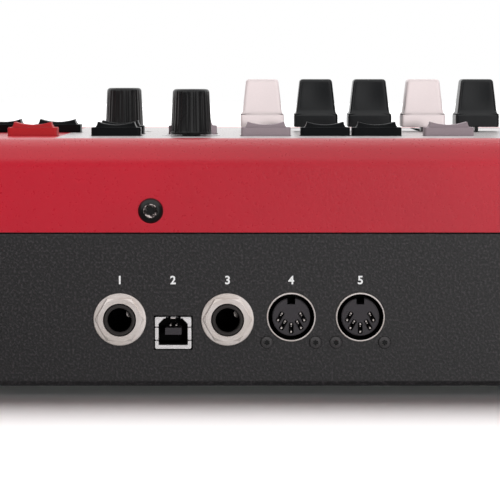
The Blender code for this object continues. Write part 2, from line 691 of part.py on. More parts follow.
def sharps(octave):
    """One octave's sharps, moulded on levers with their own lower spine."""
    _, centres = octave_layout()
    half = SHARP_WIDTH / 2 - APRON_INSET * 2
    spine, front = SPINE_FRONT - PIVOT_Y, SHARP_FRONT + APRON_THICKNESS - PIVOT_Y
    outline = []
    for centre in centres:
        left, right = centre - half, centre + half
        outline += [(left, spine), (left, front), (right, front), (right, spine)]
    left, right = centres[0] - half - APRON_THICKNESS, centres[-1] + half + APRON_THICKNESS
    outline += [(right, spine), (right, 0), (left, 0), (left, spine)]
    shape = bmesh.new()
    prism(shape, outline, "Z", LEVER_BOTTOM - SHARP_PIVOT_Z, LEVER_TOP - SHARP_PIVOT_Z)
    corner = (-HALF_KEYS + octave * NATURALS_PER_OCTAVE * KEY_PITCH, PIVOT_Y, SHARP_PIVOT_Z)
    comb = piece("sharps_octave_" + str(octave + 1), shape, KEY_BLACK, corner)

    bodies = bmesh.new()
    back, near = KEY_REAR - PIVOT_Y, SHARP_FRONT - PIVOT_Y
    bottom, top = SHARP_BODY_BOTTOM - SHARP_PIVOT_Z, KEY_TOP + SHARP_RISE - SHARP_PIVOT_Z
    crest, inner = near + SHARP_SLOPE, SHARP_TOP_WIDTH / 2 - SHARP_CROWN
    for centre in centres:
        levels = [(bottom, SHARP_WIDTH / 2, near), (KEY_TOP - SHARP_PIVOT_Z, SHARP_WIDTH / 2, near)]
        levels.append((top - SHARP_CROWN, SHARP_TOP_WIDTH / 2, crest))
        levels.append((top, inner, crest + SHARP_CROWN))
        loops = []
        for z, wide, start in levels:
            corners = ((-wide, start), (wide, start), (wide, back), (-wide, back))
            loops.append([Vector((centre + x, y, z)) for x, y in corners])
        rings(bodies, loops)
    combine(comb, bodies, "UNION", "bodies")


def drawbar(index):
    """A cap on a flat stem that reaches the slide on the panel board."""
    finishes = [BROWN_PLASTIC, BROWN_PLASTIC, WHITE_PLASTIC, WHITE_PLASTIC, BLACK_PLASTIC]
    finishes += [WHITE_PLASTIC, BLACK_PLASTIC, BLACK_PLASTIC, WHITE_PLASTIC]
    block = DRAWBAR_LIFT + DRAWBAR_BLOCK
    crest = DRAWBAR_LIFT + DRAWBAR_HEIGHT
    crown = [side - DRAWBAR_ROUNDING for side in DRAWBAR_TOP]
    levels = [
        (BOARD_TOP + GAP - DECK, (STEM_WIDTH, STEM_DEPTH), STEM_CORNER),
        (DRAWBAR_LIFT, (STEM_WIDTH, STEM_DEPTH), STEM_CORNER),
        (DRAWBAR_LIFT, DRAWBAR_BASE, DRAWBAR_CORNER),
        (block, DRAWBAR_BASE, DRAWBAR_CORNER),
        (block + DRAWBAR_ROUNDING, DRAWBAR_WAIST, DRAWBAR_CORNER),
        (crest - DRAWBAR_ROUNDING, DRAWBAR_TOP, DRAWBAR_CORNER),
        (crest, crown, DRAWBAR_CORNER),
    ]
    shape = bmesh.new()
    rings(shape, [rectangle_loop("Z", (size[0] / 2, size[1] / 2), z, cut) for z, size, cut in levels])
    place = (DRAWBAR_PLACES[index], DRAWBAR_Y, DECK)
    piece("drawbar_" + str(index + 1), shape, finishes[index], place)


def fluted_loop(radius, along, depth):
    """A knob's loop, where every other point is drawn in by the flute's depth."""
    loop = []
    for index in range(ROUND_SIDES):
        angle = math.tau * index / ROUND_SIDES
        reach = radius - depth * (index % 2)
        loop.append(Vector((reach * math.cos(angle), reach * math.sin(angle), along)))
    return loop


def knob(name, place, radius, top_radius, skirt_radius):
    """A fluted cap on a shaft that stands on the panel board."""
    loops = [
        polygon_loop("Z", SHAFT_RADIUS, BOARD_TOP + GAP - DECK, ROUND_SIDES),
        polygon_loop("Z", SHAFT_RADIUS, KNOB_GAP, ROUND_SIDES),
        polygon_loop("Z", skirt_radius, KNOB_GAP, ROUND_SIDES),
        polygon_loop("Z", skirt_radius, KNOB_GAP * 2, ROUND_SIDES),
        fluted_loop(radius, KNOB_GAP * 3, FLUTE_DEPTH),
        fluted_loop(top_radius, KNOB_HEIGHT - KNOB_ROUNDING, FLUTE_DEPTH),
        polygon_loop("Z", top_radius - KNOB_ROUNDING, KNOB_HEIGHT, ROUND_SIDES),
    ]
    shape = bmesh.new()
    rings(shape, loops)
    piece(name, shape, BLACK_PLASTIC, (*place, DECK), smooth=True)


def button(name, x, y, finish):
    """A push button: a plinth that fills its hole, with a saddle on top."""
    half = BUTTON_WIDTH / 2
    crest = half - BUTTON_SHOULDER
    rise = BUTTON_PLINTH + BUTTON_RISE
    base = BOARD_TOP + BUTTON_TRAVEL + GAP - DECK
    side = [(half, base), (half, BUTTON_PLINTH), (crest + BUTTON_FLARE, BUTTON_PLINTH)]
    side.append((crest + BUTTON_NECK, rise - BUTTON_LIP))
    saddle = []
    for share in (1.0, 2 / 3, 1 / 3, 0.0, -1 / 3, -2 / 3, -1.0):
        saddle.append((crest * share, rise - BUTTON_DIP * (1 - share * share)))
    outline = side + saddle + [(-x, z) for x, z in reversed(side)]
    shape = bmesh.new()
    prism(shape, outline, "Y", -BUTTON_DEPTH / 2, BUTTON_DEPTH / 2)
    piece(name, shape, finish, (x, y, DECK))


def button_mat():
    """Silicone mat under the deck, with its program and effect buttons moulded on."""
    web_bottom = BOARD_TOP + BUTTON_TRAVEL + GAP
    width = MAT_BUTTON_SIZE[1] / 2 + MAT_MARGIN
    shape = bmesh.new()
    middle = (MAT_PLACES[0] + MAT_PLACES[-1]) / 2
    half = (MAT_PLACES[-1] - MAT_PLACES[0]) / 2 + MAT_BUTTON_SIZE[0]
    box(shape, (-half, -width, web_bottom - DECK), (half, width, web_bottom + MAT_WEB - DECK))
    mat = piece("button_mat", shape, GREY_RUBBER, (middle, MAT_Y, DECK))
    buttons = bmesh.new()
    size = (MAT_BUTTON_SIZE[0] / 2, MAT_BUTTON_SIZE[1] / 2)
    start = web_bottom + MAT_WEB / 2 - DECK
    crown = (size[0] - MAT_BUTTON_EDGE, size[1] - MAT_BUTTON_EDGE)
    levels = ((start, size), (MAT_BUTTON_RISE - MAT_BUTTON_EDGE, size), (MAT_BUTTON_RISE, crown))
    for x in MAT_PLACES:
        loops = []
        for z, reach in levels:
            loops.append(rectangle_loop("Z", reach, z, MAT_BUTTON_CORNER, (x - middle, 0)))
        rings(buttons, loops)
    combine(mat, buttons, "UNION", "buttons")


def display():
    """Display module: a rimmed window on a body that stands on the panel board."""
    half = (DISPLAY_SIZE[0] / 2, DISPLAY_SIZE[1] / 2)
    rim = (half[0] + DISPLAY_RIM, half[1] + DISPLAY_RIM)
    face = (half[0] - DISPLAY_RIM / 3, half[1] - DISPLAY_RIM / 3)
    top = GAP + DISPLAY_RIM_HEIGHT
    levels = [(BOARD_TOP + GAP - DECK, half), (GAP, half), (GAP, rim)]
    levels += [(top / 2, rim), (top, half), (top / 2, face)]
    shape = bmesh.new()
    rings(shape, [rectangle_loop("Z", size, z, DISPLAY_CORNER) for z, size in levels])
    piece("display", shape, GLASS_BLACK, (*DISPLAY, DECK))


def jack_loops(x=0.0):
    """Loops of a large jack along Y, from the end of its bore to the back of its body."""
    flange = WALL + GAP
    nut = flange + FLANGE_HEIGHT
    bush = nut + NUT_HEIGHT
    mouth = WALL + JACK_PROUD
    body = WALL_INSIDE - GAP
    tall = (UNDERSIDE + JACK_LEVEL - MAIN_BOARD_TOP - GAP) / JACK_HALF_WIDTH
    rows = [
        (JACK_BORE, mouth - JACK_BORE_DEPTH, 0),
        (JACK_BORE, mouth, 0),
        (JACK_BUSH, mouth, 0),
        (JACK_BUSH, bush, 0),
        (NUT_FLATS / 2, bush, 6),
        (NUT_FLATS / 2, nut, 6),
        (FLANGE_RADIUS, nut, 0),
        (FLANGE_RADIUS, flange, 0),
        (JACK_BUSH, flange, 0),
        (JACK_BUSH, body, 0),
        (JACK_HALF_WIDTH, body, 4),
        (JACK_HALF_WIDTH, WALL - JACK_BODY_DEPTH, 4),
    ]
    return socket_loops(rows, tall, x)


def socket_loops(rows, tall, x=0.0):
    """Loops along Y from rows of reach, place and number of corners. Square ones are made taller."""
    loops = []
    for reach, y, corners in rows:
        stretch = tall if corners == 4 else 1.0
        loops.append(polygon_loop("Y", reach, y, ROUND_SIDES, (x, 0), corners, stretch))
    return loops


def jacks():
    """The single jacks, and the pair of line outputs on one body."""
    level = UNDERSIDE + JACK_LEVEL
    for name, x in JACKS.items():
        shape = bmesh.new()
        rings(shape, jack_loops())
        piece(name, shape, NICKEL, (x, 0, level), smooth=True)
    left, right = bmesh.new(), bmesh.new()
    rings(left, jack_loops(-LINE_PITCH / 2))
    rings(right, jack_loops(LINE_PITCH / 2))
    pair = piece("line_output_pair", left, NICKEL, (LINE_OUT, 0, level))
    bridge = bmesh.new()
    reach = LINE_PITCH / 2 - JACK_BUSH - GAP
    middle = WALL - JACK_BODY_DEPTH / 2
    box(bridge, (-reach, middle - JACK_BUSH, -JACK_BUSH), (reach, middle + JACK_BUSH, JACK_BUSH))
    combine(pair, bridge, "UNION", "bridge")
    combine(pair, right, "UNION", "second_jack")


def round_sockets():
    """Five-pin sockets: a rim, a groove round the contact disc, and a key notch at the top."""
    level = UNDERSIDE + ROUND_LEVEL
    mouth = WALL + ROUND_PROUD
    body = WALL_INSIDE - GAP
    inner = ROUND_RADIUS - ROUND_RIM
    groove = mouth - ROUND_GROOVE_DEPTH
    rows = [
        (ROUND_DISC, mouth - ROUND_RIM, 0),
        (ROUND_DISC, groove, 0),
        (inner, groove, 0),
        (inner, mouth, 0),
        (ROUND_RADIUS, mouth, 0),
        (ROUND_RADIUS, body, 0),
        (ROUND_HALF_WIDTH, body, 4),
        (ROUND_HALF_WIDTH, WALL - ROUND_DEPTH, 4),
    ]
    loops = socket_loops(rows, (level - MAIN_BOARD_TOP - GAP) / ROUND_HALF_WIDTH)
    for name, x in ROUND_SOCKETS.items():
        shape = bmesh.new()
        rings(shape, loops)
        socket = piece(name, shape, NICKEL, (x, 0, level), smooth=True)
        contacts = bmesh.new()
        for index in range(CONTACTS):
            angle = math.radians(180 + 180 * index / (CONTACTS - 1))
            centre = (CONTACT_CIRCLE * math.cos(angle), CONTACT_CIRCLE * math.sin(angle))
            cylinder(contacts, "Y", CONTACT_RADIUS, groove, mouth, POST_SIDES, centre)
        combine(socket, contacts, "DIFFERENCE", "contacts")


def data_socket():
    """Square socket: a metal shell with two cut corners inside and a tongue in the middle."""
    mouth, body, back = WALL + DATA_PROUD, WALL_INSIDE - GAP, WALL - DATA_DEPTH
    level = UNDERSIDE + DATA_LEVEL
    half = (DATA_SHELL[0] / 2, DATA_SHELL[1] / 2)
    half_body = level - MAIN_BOARD_TOP - GAP
    block = (half[0] + SHEET / 2, half_body)
    shape = bmesh.new()
    levels = ((mouth, half), (body, half), (body, block), (back, block))
    rings(shape, [rectangle_loop("Y", size, y, GAP) for y, size in levels])
    socket = piece("square_data_socket", shape, NICKEL, (STRETCH + DATA_X, 0, level))
    wide, high = DATA_CAVITY[0] / 2, DATA_CAVITY[1] / 2
    outline = [(-wide, -high), (wide, -high), (wide, high - DATA_CORNER), (wide - DATA_CORNER, high)]
    outline += [(-wide + DATA_CORNER, high), (-wide, high - DATA_CORNER)]
    cavity = bmesh.new()
    prism(cavity, outline, "Y", mouth - DATA_CAVITY_DEPTH, mouth + SHEET)
    combine(socket, cavity, "DIFFERENCE", "cavity")
    tongue = bmesh.new()
    reach = (DATA_TONGUE[0] / 2, DATA_TONGUE[1] / 2)
    start = mouth - DATA_CAVITY_DEPTH - SHEET
    box(tongue, (-reach[0], start, -reach[1]), (reach[0], mouth - DATA_TONGUE_SETBACK, reach[1]))
    combine(socket, tongue, "UNION", "tongue")


def mains_inlet():
    """Three-pin mains inlet, snapped into the wall."""
    level = UNDERSIDE + INLET_LEVEL
    flange = (INLET_FLANGE[0] / 2, INLET_FLANGE[1] / 2)
    body = (INLET_BODY[0] / 2, INLET_BODY[1] / 2)
    face, seat, back = WALL + JACK_PROUD - GAP, WALL + GAP, WALL - INLET_DEPTH
    shape = bmesh.new()
    levels = ((face, flange), (seat, flange), (seat, body), (back, body))
    rings(shape, [rectangle_loop("Y", size, y, INLET_CORNER) for y, size in levels])
    inlet = piece("mains_inlet", shape, BLACK_PLASTIC, (INLET_X, 0, level))
    cavity = bmesh.new()
    half = (INLET_CAVITY[0] / 2, INLET_CAVITY[1] / 2)
    depths = (face - INLET_CAVITY_DEPTH, face + SHEET)
    rings(cavity, [rectangle_loop("Y", half, y, INLET_CORNER) for y in depths])
    combine(inlet, cavity, "DIFFERENCE", "cavity")
    pins = bmesh.new()
    for index, rise in enumerate((0, INLET_PIN[1] / 2, 0)):
        x = INLET_PIN_PITCH * (index - 1)
        low = (x - INLET_PIN[0] / 2, face - INLET_CAVITY_DEPTH - SHEET, rise - INLET_PIN[1] / 2)
        box(pins, low, (x + INLET_PIN[0] / 2, face - SHEET, rise + INLET_PIN[1] / 2))
    combine(inlet, pins, "UNION", "pins")


def power_rocker():
    """Mains rocker: a shallow V on a hub, resting with its upper end pressed."""
    half = ROCKER_SIZE[1] / 2
    ridge = ROCKER_PIVOT + GAP
    end = ridge + half * math.sin(ROCKER_TILT)
    outline = [(ridge, 0), (end, half), (-ROCKER_PIVOT, half)]
    outline += arc((0, 0), ROCKER_HUB + ROCKER_PIVOT, 120, 240, BEND_STEPS)
    outline += [(-ROCKER_PIVOT, -half), (end, -half)]
    turned = []
    for y, z in outline:
        turned.append((y * math.cos(ROCKER_TILT) - z * math.sin(ROCKER_TILT),
                       y * math.sin(ROCKER_TILT) + z * math.cos(ROCKER_TILT)))
    shape = bmesh.new()
    prism(shape, turned, "X", -ROCKER_SIZE[0] / 2, ROCKER_SIZE[0] / 2)
    piece("power_rocker", shape, BLACK_PLASTIC, (ROCKER_X, WALL - ROCKER_PIVOT, UNDERSIDE + INLET_LEVEL))


def boards():
    """Panel board under the deck, main board behind the sockets, and the power supply."""
    shape = bmesh.new()
    low = (-HALF_TRAY + EDGE_MARGIN, LIP_FACE + SHEET + GAP, BOARD_TOP - BOARD)
    box(shape, low, (HALF_TRAY - EDGE_MARGIN, WALL - EDGE_MARGIN, BOARD_TOP))
    piece("panel_board", shape, BOARD_GREEN)
    shape = bmesh.new()
    low = (MAIN_BOARD_LEFT, MAIN_BOARD_FRONT, MAIN_BOARD_TOP - BOARD)
    box(shape, low, (MAIN_BOARD_RIGHT, MAIN_BOARD_REAR, MAIN_BOARD_TOP))
    piece("main_board", shape, BOARD_GREEN)
    shape = bmesh.new()
    half = SUPPLY_SIZE[0] / 2
    rear = WALL - INLET_DEPTH - GAP
    base = UNDERSIDE + SHEET + GAP
    box(shape, (-half, rear - SUPPLY_SIZE[1], base), (half, rear, base + SUPPLY_SIZE[2]))
    piece("power_supply", shape, STEEL, (SUPPLY_X, 0, 0))


def feet():
    """Four round rubber feet."""
    for side_x, name_x in ((-1, "left"), (1, "right")):
        for y, name_y in ((FRONT + FOOT_INSET, "front"), (WALL - FOOT_INSET, "rear")):
            shape = bmesh.new()
            rows = [(FOOT_RADIUS - FOOT_CHAMFER, 0), (FOOT_RADIUS, FOOT_CHAMFER)]
            rows.append((FOOT_RADIUS, FOOT_HEIGHT - GAP))
            rings(shape, [polygon_loop("Z", radius, z, ROUND_SIDES) for radius, z in rows])
            place = (side_x * (HALF_LENGTH - FOOT_INSET * 2), y, 0)
            piece("foot_" + name_y + "_" + name_x, shape, RUBBER, place, smooth=True)


top_cover()
bottom_tray()
cheeks()
key_frame()
for octave in range(OCTAVES):
    naturals(octave)
    sharps(octave)
for index in range(DRAWBARS):
    drawbar(index)
for name, place in KNOBS.items():
    knob(name, place, KNOB_RADIUS, KNOB_TOP_RADIUS, KNOB_SKIRT_RADIUS)
knob("program_dial", DIAL, DIAL_RADIUS, DIAL_RADIUS - FLUTE_DEPTH, DIAL_RADIUS + FLUTE_DEPTH)
for name, (x, y, finish) in BUTTONS.items():
    button(name, x, y, finish)
button_mat()
display()
jacks()
round_sockets()
data_socket()
mains_inlet()
power_rocker()
boards()
feet()
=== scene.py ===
# %% [markdown]
# # A stage keyboard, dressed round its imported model
# The CAD model is the frame: it gives every place and size, and its bodies carry the pieces made here.
# A node whose shape is plain gets a detailed piece in its place, and a hidden one keeps its CAD mesh.
# All sizes are metres. +X is the player's right, the player sits at -Y and the sockets face +Y.

# %% Load the frame and read its levels
import math

import bmesh
import bpy
from mathutils import Matrix, Vector


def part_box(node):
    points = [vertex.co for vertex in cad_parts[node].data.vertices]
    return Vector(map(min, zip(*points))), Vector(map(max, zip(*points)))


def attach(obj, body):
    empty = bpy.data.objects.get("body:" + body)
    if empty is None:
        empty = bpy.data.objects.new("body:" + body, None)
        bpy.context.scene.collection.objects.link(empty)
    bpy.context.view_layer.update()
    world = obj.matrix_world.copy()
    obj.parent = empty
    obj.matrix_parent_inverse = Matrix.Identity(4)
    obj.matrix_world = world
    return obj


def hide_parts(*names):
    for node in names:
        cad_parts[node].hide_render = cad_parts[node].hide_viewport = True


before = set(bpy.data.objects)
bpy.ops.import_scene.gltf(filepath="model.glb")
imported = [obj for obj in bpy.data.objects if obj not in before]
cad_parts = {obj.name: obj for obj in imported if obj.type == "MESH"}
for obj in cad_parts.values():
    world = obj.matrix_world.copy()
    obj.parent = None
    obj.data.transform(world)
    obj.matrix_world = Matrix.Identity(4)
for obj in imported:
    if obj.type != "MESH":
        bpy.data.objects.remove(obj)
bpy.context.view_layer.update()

cover_low, cover_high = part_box("top_cover")
tray_low, tray_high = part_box("bottom_tray")
DECK, SEAM, REAR, LIP = cover_high.z, cover_low.z, cover_high.y, cover_low.y
WALL, UNDERSIDE, FRONT = tray_high.y, tray_low.z, tray_low.y
HALF_TRAY = cover_high.x
SHEET = 0.0015
GAP = 0.0003
print("deck level", round(DECK, 4), "rear wall", round(WALL, 4), "nodes", len(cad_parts))

# %% [markdown]
# ## The camera
# The photograph is a close view of the back, taken from a little above the deck with a long lens.
# Its sockets have standard sizes, so their spacing in pixels gives the focal length, and the slant of
# the deck gives the camera's height. The tilt does the framing, so no lens shift is needed.

# %% The camera
STRETCH_X = -0.205
CAMERA_AWAY = 0.65
CAMERA_HEIGHT = 0.0995
CAMERA_TILT = math.radians(4.8)
PICTURE_WIDTH = 500
FOCAL_LENGTH_IN_PIXELS = 2121
SENSOR_WIDTH = 36

lens = bpy.data.cameras.new("photo_camera")
lens.sensor_width = SENSOR_WIDTH
lens.lens = SENSOR_WIDTH * FOCAL_LENGTH_IN_PIXELS / PICTURE_WIDTH
camera = bpy.data.objects.new("photo_camera", lens)
camera.location = (STRETCH_X, WALL + CAMERA_AWAY, CAMERA_HEIGHT)
camera.rotation_euler = (math.radians(90) - CAMERA_TILT, 0, math.radians(180))
bpy.context.scene.collection.objects.link(camera)
bpy.context.scene.camera = camera
bpy.context.scene.view_settings.view_transform = "Standard"
print("focal length", round(lens.lens, 1), "mm")

# %% [markdown]
# ## Shader sums
# A material is a small program of nodes. A wrapped socket lets that program be written as Python sums,
# so a mask reads as a formula. Every other node comes from one method, which sets the node's choices
# first and then the values or links of its sockets.


# %% Shader sums
class Wire:
    """A node's output that takes part in sums."""

    def __init__(self, sheet, socket):
        self.sheet, self.socket = sheet, socket

    def sum(self, operation, first, second=0.0):
        return self.sheet.node("Math", {"operation": operation}, {0: first, 1: second})

    def __add__(self, other):
        return self.sum("ADD", self, other)

    def __sub__(self, other):
        return self.sum("SUBTRACT", self, other)

    def __rsub__(self, other):
        return self.sum("SUBTRACT", other, self)

    def __mul__(self, other):
        return self.sum("MULTIPLY", self, other)

    def __abs__(self):
        return self.sum("ABSOLUTE", self)

    def above(self, other):
        return self.sum("GREATER_THAN", self, other)

    def highest(self, other):
        return self.sum("MAXIMUM", self, other)


class Sheet:
    """A node tree under construction, and the shader that it feeds."""

    def __init__(self, tree, shader=None):
        self.tree, self.shader = tree, shader

    def node(self, kind, choices, inputs, output=0):
        made = self.tree.nodes.new("ShaderNode" + kind)
        for name, value in choices.items():
            setattr(made, name, value)
        for name, value in inputs.items():
            self.feed(made.inputs[name], value)
        return Wire(self, made.outputs[output])

    def feed(self, socket, value):
        if isinstance(value, Wire):
            self.tree.links.new(value.socket, socket)
        elif isinstance(value, tuple) and len(value) == 3 and socket.type == "RGBA":
            socket.default_value = (*value, 1)
        else:
            socket.default_value = value

    def place(self):
        """The surface's own coordinates, as x, y and z."""
        at = self.node("TexCoord", {}, {}, "Object")
        return [self.node("SeparateXYZ", {}, {0: at}, axis) for axis in "XYZ"]

    def noise(self, scale, detail=2.0, stretch=(1, 1, 1)):
        at = self.node("TexCoord", {}, {}, "Object")
        at = self.node("Mapping", {}, {"Vector": at, "Scale": stretch})
        return self.node("TexNoise", {}, {"Vector": at, "Scale": scale, "Detail": detail})

    def step(self, value, low, high):
        """0 below low and 1 above high, with a soft slope between them."""
        choices = {"interpolation_type": "SMOOTHSTEP"}
        return self.node("MapRange", choices, {0: value, 1: low, 2: high})

    def blend(self, share, first, second):
        """The first colour where the share is 0 and the second where it is 1."""
        return self.node("Mix", {"data_type": "RGBA"}, {0: share, 6: first, 7: second}, 2)

    def colour(self, share, first, second):
        """Give the shader a blend of two colours."""
        self.feed(self.shader.inputs["Base Color"], self.blend(share, first, second))

    def rough(self, value):
        self.feed(self.shader.inputs["Roughness"], value)

    def dent(self, height, depth):
        """Feed a height into the shader's normal, with its depth in metres."""
        bump = self.node("Bump", {}, {"Height": height, "Distance": depth, "Strength": 1.0})
        self.feed(self.shader.inputs["Normal"], bump)


def material(name, colour, roughness, **sockets):
    """A new material and its sheet, with the sockets that stay the same all over."""
    made = bpy.data.materials.new(name)
    made.use_nodes = True
    made.diffuse_color = (*colour, 1)
    shader = made.node_tree.nodes["Principled BSDF"]
    sheet = Sheet(made.node_tree, shader)
    sockets.update({"Base Color": colour, "Roughness": roughness})
    for key, value in sockets.items():
        sheet.feed(shader.inputs[key.replace("_", " ")], value)
    return made, sheet


# %% [markdown]
# ## Floor and light
# A product picture like this one has a bright table, a big soft lamp above and behind, which pulls a short
# shadow towards the camera, and a low soft lamp in front for the rear wall. Two weaker lamps on the
# player's side light the keys and the ends. The world shows white to the camera and gives little light
# itself, so that the shadow under the instrument stays deep. Reflections see a white ceiling, the white
# wall on the player's side, a side screen and one small soft box high to the picture's left. Behind the
# camera and below they see a darker room, which keeps the paint of the rear wall deep. The lamps' own
# reflections are left out, as their outlines would show as spots.

# %% Floor and light
WORLD_LIGHT = 0.04
ROOM_LIGHT = 0.075
FLOOR_SIZE = 12.0
FLOOR_COLOUR = (0.8, 0.8, 0.8)
FLOOR_SEEN = (1.27, 1.27, 1.27)
CEILING, PLAYER_WALL, FROM_BELOW = (0.34, 0.6), (0.0, 0.3), (-0.4, -0.15)
SCREEN_EDGES = (-0.02, 0.12), (-0.75, -0.55)
SOFT_BOX_EDGES = (0.2, 0.35), (0.25, 0.45), (0.1, 0.25)
LAMPS = {
    "key_lamp": (0.8, 180, 64, 34),
    "rear_lamp": (0.84, -16, 1.5, 7),
    "left_lamp": (0.36, 232, 22, 40),
    "right_lamp": (0.36, 128, 22, 40),
}

world = bpy.data.worlds.new("studio")
world.use_nodes = True
bpy.context.scene.world = world
sky = Sheet(world.node_tree)
way = sky.node("TexCoord", {}, {}, "Generated")
x, y, z = [sky.node("SeparateXYZ", {}, {0: way}, axis) for axis in "XYZ"]
screen = sky.step(0 - x, *SCREEN_EDGES[0]) * sky.step(x, *SCREEN_EDGES[1])
box_x, box_y, box_z = [sky.step(way, *edges) for way, edges in zip((x, y, z), SOFT_BOX_EDGES)]
studio = sky.step(z, *CEILING).highest(sky.step(0 - y, *PLAYER_WALL)).highest(screen)
studio = studio.highest(box_x * box_z * box_y) * sky.step(z, *FROM_BELOW)
mirrored = sky.node("LightPath", {}, {}, "Is Glossy Ray") * (studio * (1 - ROOM_LIGHT) + ROOM_LIGHT)
seen = mirrored.highest(sky.node("LightPath", {}, {}, "Is Camera Ray"))
seen = seen.highest(sky.node("LightPath", {}, {}, "Is Transmission Ray"))
backdrop = world.node_tree.nodes["Background"]
backdrop.inputs["Color"].default_value = (1, 1, 1, 1)
sky.feed(backdrop.inputs["Strength"], seen * (1 - WORLD_LIGHT) + WORLD_LIGHT)

for name, (level, azimuth, elevation, softness) in LAMPS.items():
    lamp = bpy.data.lights.new(name, "SUN")
    lamp.energy = level * math.pi
    lamp.angle = math.radians(softness)
    turn, rise = math.radians(azimuth), math.radians(elevation)
    source = Vector((math.sin(turn) * math.cos(rise), math.cos(turn) * math.cos(rise), math.sin(rise)))
    stand = bpy.data.objects.new(name, lamp)
    stand.rotation_euler = source.to_track_quat("Z", "Y").to_euler()
    stand.visible_glossy = False
    bpy.context.scene.collection.objects.link(stand)

bpy.ops.object.select_all(action="DESELECT")
bpy.ops.mesh.primitive_plane_add(size=FLOOR_SIZE)
floor = bpy.context.object
floor.name = "floor"
floor_material = bpy.data.materials.new("table_top")
floor_material.use_nodes = True
table = Sheet(floor_material.node_tree)
table.tree.nodes.remove(table.tree.nodes["Principled BSDF"])
seen = table.node("LightPath", {}, {}, "Is Camera Ray")
matte = table.node("BsdfDiffuse", {}, {"Color": table.blend(seen, FLOOR_COLOUR, FLOOR_SEEN)})
table.feed(table.tree.nodes["Material Output"].inputs["Surface"], matte)
floor.data.materials.append(floor_material)
floor.visible_glossy = False
print(len(LAMPS), "lamps")

# %% [markdown]
# ## Finishes
# Painted steel isn't one flat colour: powder coat has a fine orange-peel skin and small specks, moulded
# plastic has a grain, and rubber scatters light. Each finish mixes its colour with noise at the real
# scale of that grain, roughens it a little unevenly, and dents its normals by hundredths of a millimetre.


# %% Finishes of steel and plastic
def grained(name, colour, roughness, grain, shift=0.1, depth=0.00002, level=0.5, **sockets):
    """A moulded surface: a grain of the given size, and a slow change of tone."""
    made, sheet = material(name, colour, roughness, Specular_IOR_Level=level, **sockets)
    fine, slow = sheet.noise(1 / grain), sheet.noise(14, 3.0)
    tone = sheet.step(fine * 0.6 + slow * 0.4, 0.36, 0.64)
    dark = tuple(value * (1 - shift) for value in colour)
    light = tuple(min(1.0, value * (1 + shift)) for value in colour)
    sheet.colour(tone, dark, light)
    sheet.rough(slow * 0.1 + (roughness - 0.05))
    sheet.dent(fine, depth)
    return made


def powder(name, colour, speck, roughness, level, depth):
    """Powder coat: an orange-peel skin and scattered lighter specks."""
    made, sheet = material(name, colour, roughness, Specular_IOR_Level=level)
    peel, fine, slow = sheet.noise(1000), sheet.noise(1400, 2.0), sheet.noise(9, 3.0)
    tone = sheet.step(slow, 0.3, 0.7)
    ground = sheet.blend(tone, *[tuple(value * share for value in colour) for share in (0.9, 1.1)])
    specks = sheet.step(fine, 0.46, 0.7)
    sheet.colour(specks, ground, speck)
    sheet.rough(peel * 0.1 + (roughness - 0.05))
    sheet.dent(peel * 0.6 + fine * 0.4, depth)
    return made, sheet, ground


PAINT_RED = (0.47, 0.0035, 0.0185)
RED_SPECK = (0.505, 0.008, 0.025)
FIELD_GREY = (0.56, 0.528, 0.528)
black_coat = powder("black_coat", (0.006, 0.0053, 0.0057), (0.036, 0.031, 0.034), 0.4, 0.85, 0.0001)[0]
black_plastic = grained("black_plastic", (0.004, 0.0046, 0.0054), 0.3, 0.0004, 0.15, level=0.45)
# The socket wells' plastic is blacker and duller than the other black plastic. That is its own black, with
# painted shade for the deep wells on top of it.
socket_black = grained("socket_black", (0.002, 0.002, 0.002), 0.6, 0.0004, 0.15, level=0.03)
white_plastic = grained("white_plastic", (0.88, 0.775, 0.775), 0.42, 0.0005, 0.01, level=0.4)
brown_plastic = grained("brown_plastic", (0.085, 0.03, 0.016), 0.42, 0.0004)
black_rubber = grained("black_rubber", (0.002, 0.0024, 0.003), 0.36, 0.0003, 0.15, level=0.15)
grey_rubber = grained("grey_rubber", (0.285, 0.232, 0.252), 0.55, 0.0003, 0.03, level=0.3)
red_rubber = grained("red_rubber", (0.4, 0.02, 0.024), 0.5, 0.0003, 0.05, level=0.4)
dark_insert = grained("dark_insert", (0.046, 0.042, 0.046), 0.5, 0.0004, 0.06, level=0.3)
foot_rubber = grained("foot_rubber", (0.018, 0.018, 0.018), 0.85, 0.0006, 0.2)
white_ink = grained("white_ink", (0.82, 0.82, 0.82), 0.55, 0.0003, 0.03, 0.00001)
print(len(bpy.data.materials), "materials so far")

# %% [markdown]
# ## Modelling by hand, in code
# The helpers below do what a modeller does with the mouse: deselect all, add a primitive, pick faces or
# edges by where they are, run an edit tool on them, and apply modifiers. The pieces end with their
# place in the mesh and their object at the origin, as the CAD nodes have.


# %% Helpers for modelling
TOUCH = 1e-6


def leave():
    """Leave edit mode."""
    if bpy.context.object and bpy.context.object.mode == "EDIT":
        bpy.ops.object.mode_set(mode="OBJECT")


def fresh():
    """Get ready for a new primitive."""
    leave()
    bpy.ops.object.select_all(action="DESELECT")


def solo(piece):
    """Leave edit mode, and select one object alone."""
    fresh()
    piece.select_set(True)
    bpy.context.view_layer.objects.active = piece


def added(name):
    """Name the primitive that was just added, and move its place into its mesh."""
    piece = bpy.context.object
    piece.name = piece.data.name = name
    bpy.ops.object.transform_apply(location=True, rotation=True, scale=True)
    return piece


def block(name, low, high):
    """A block between two corners."""
    fresh()
    low, high = Vector(low), Vector(high)
    bpy.ops.mesh.primitive_cube_add(size=1, location=(low + high) / 2, scale=high - low)
    return added(name)


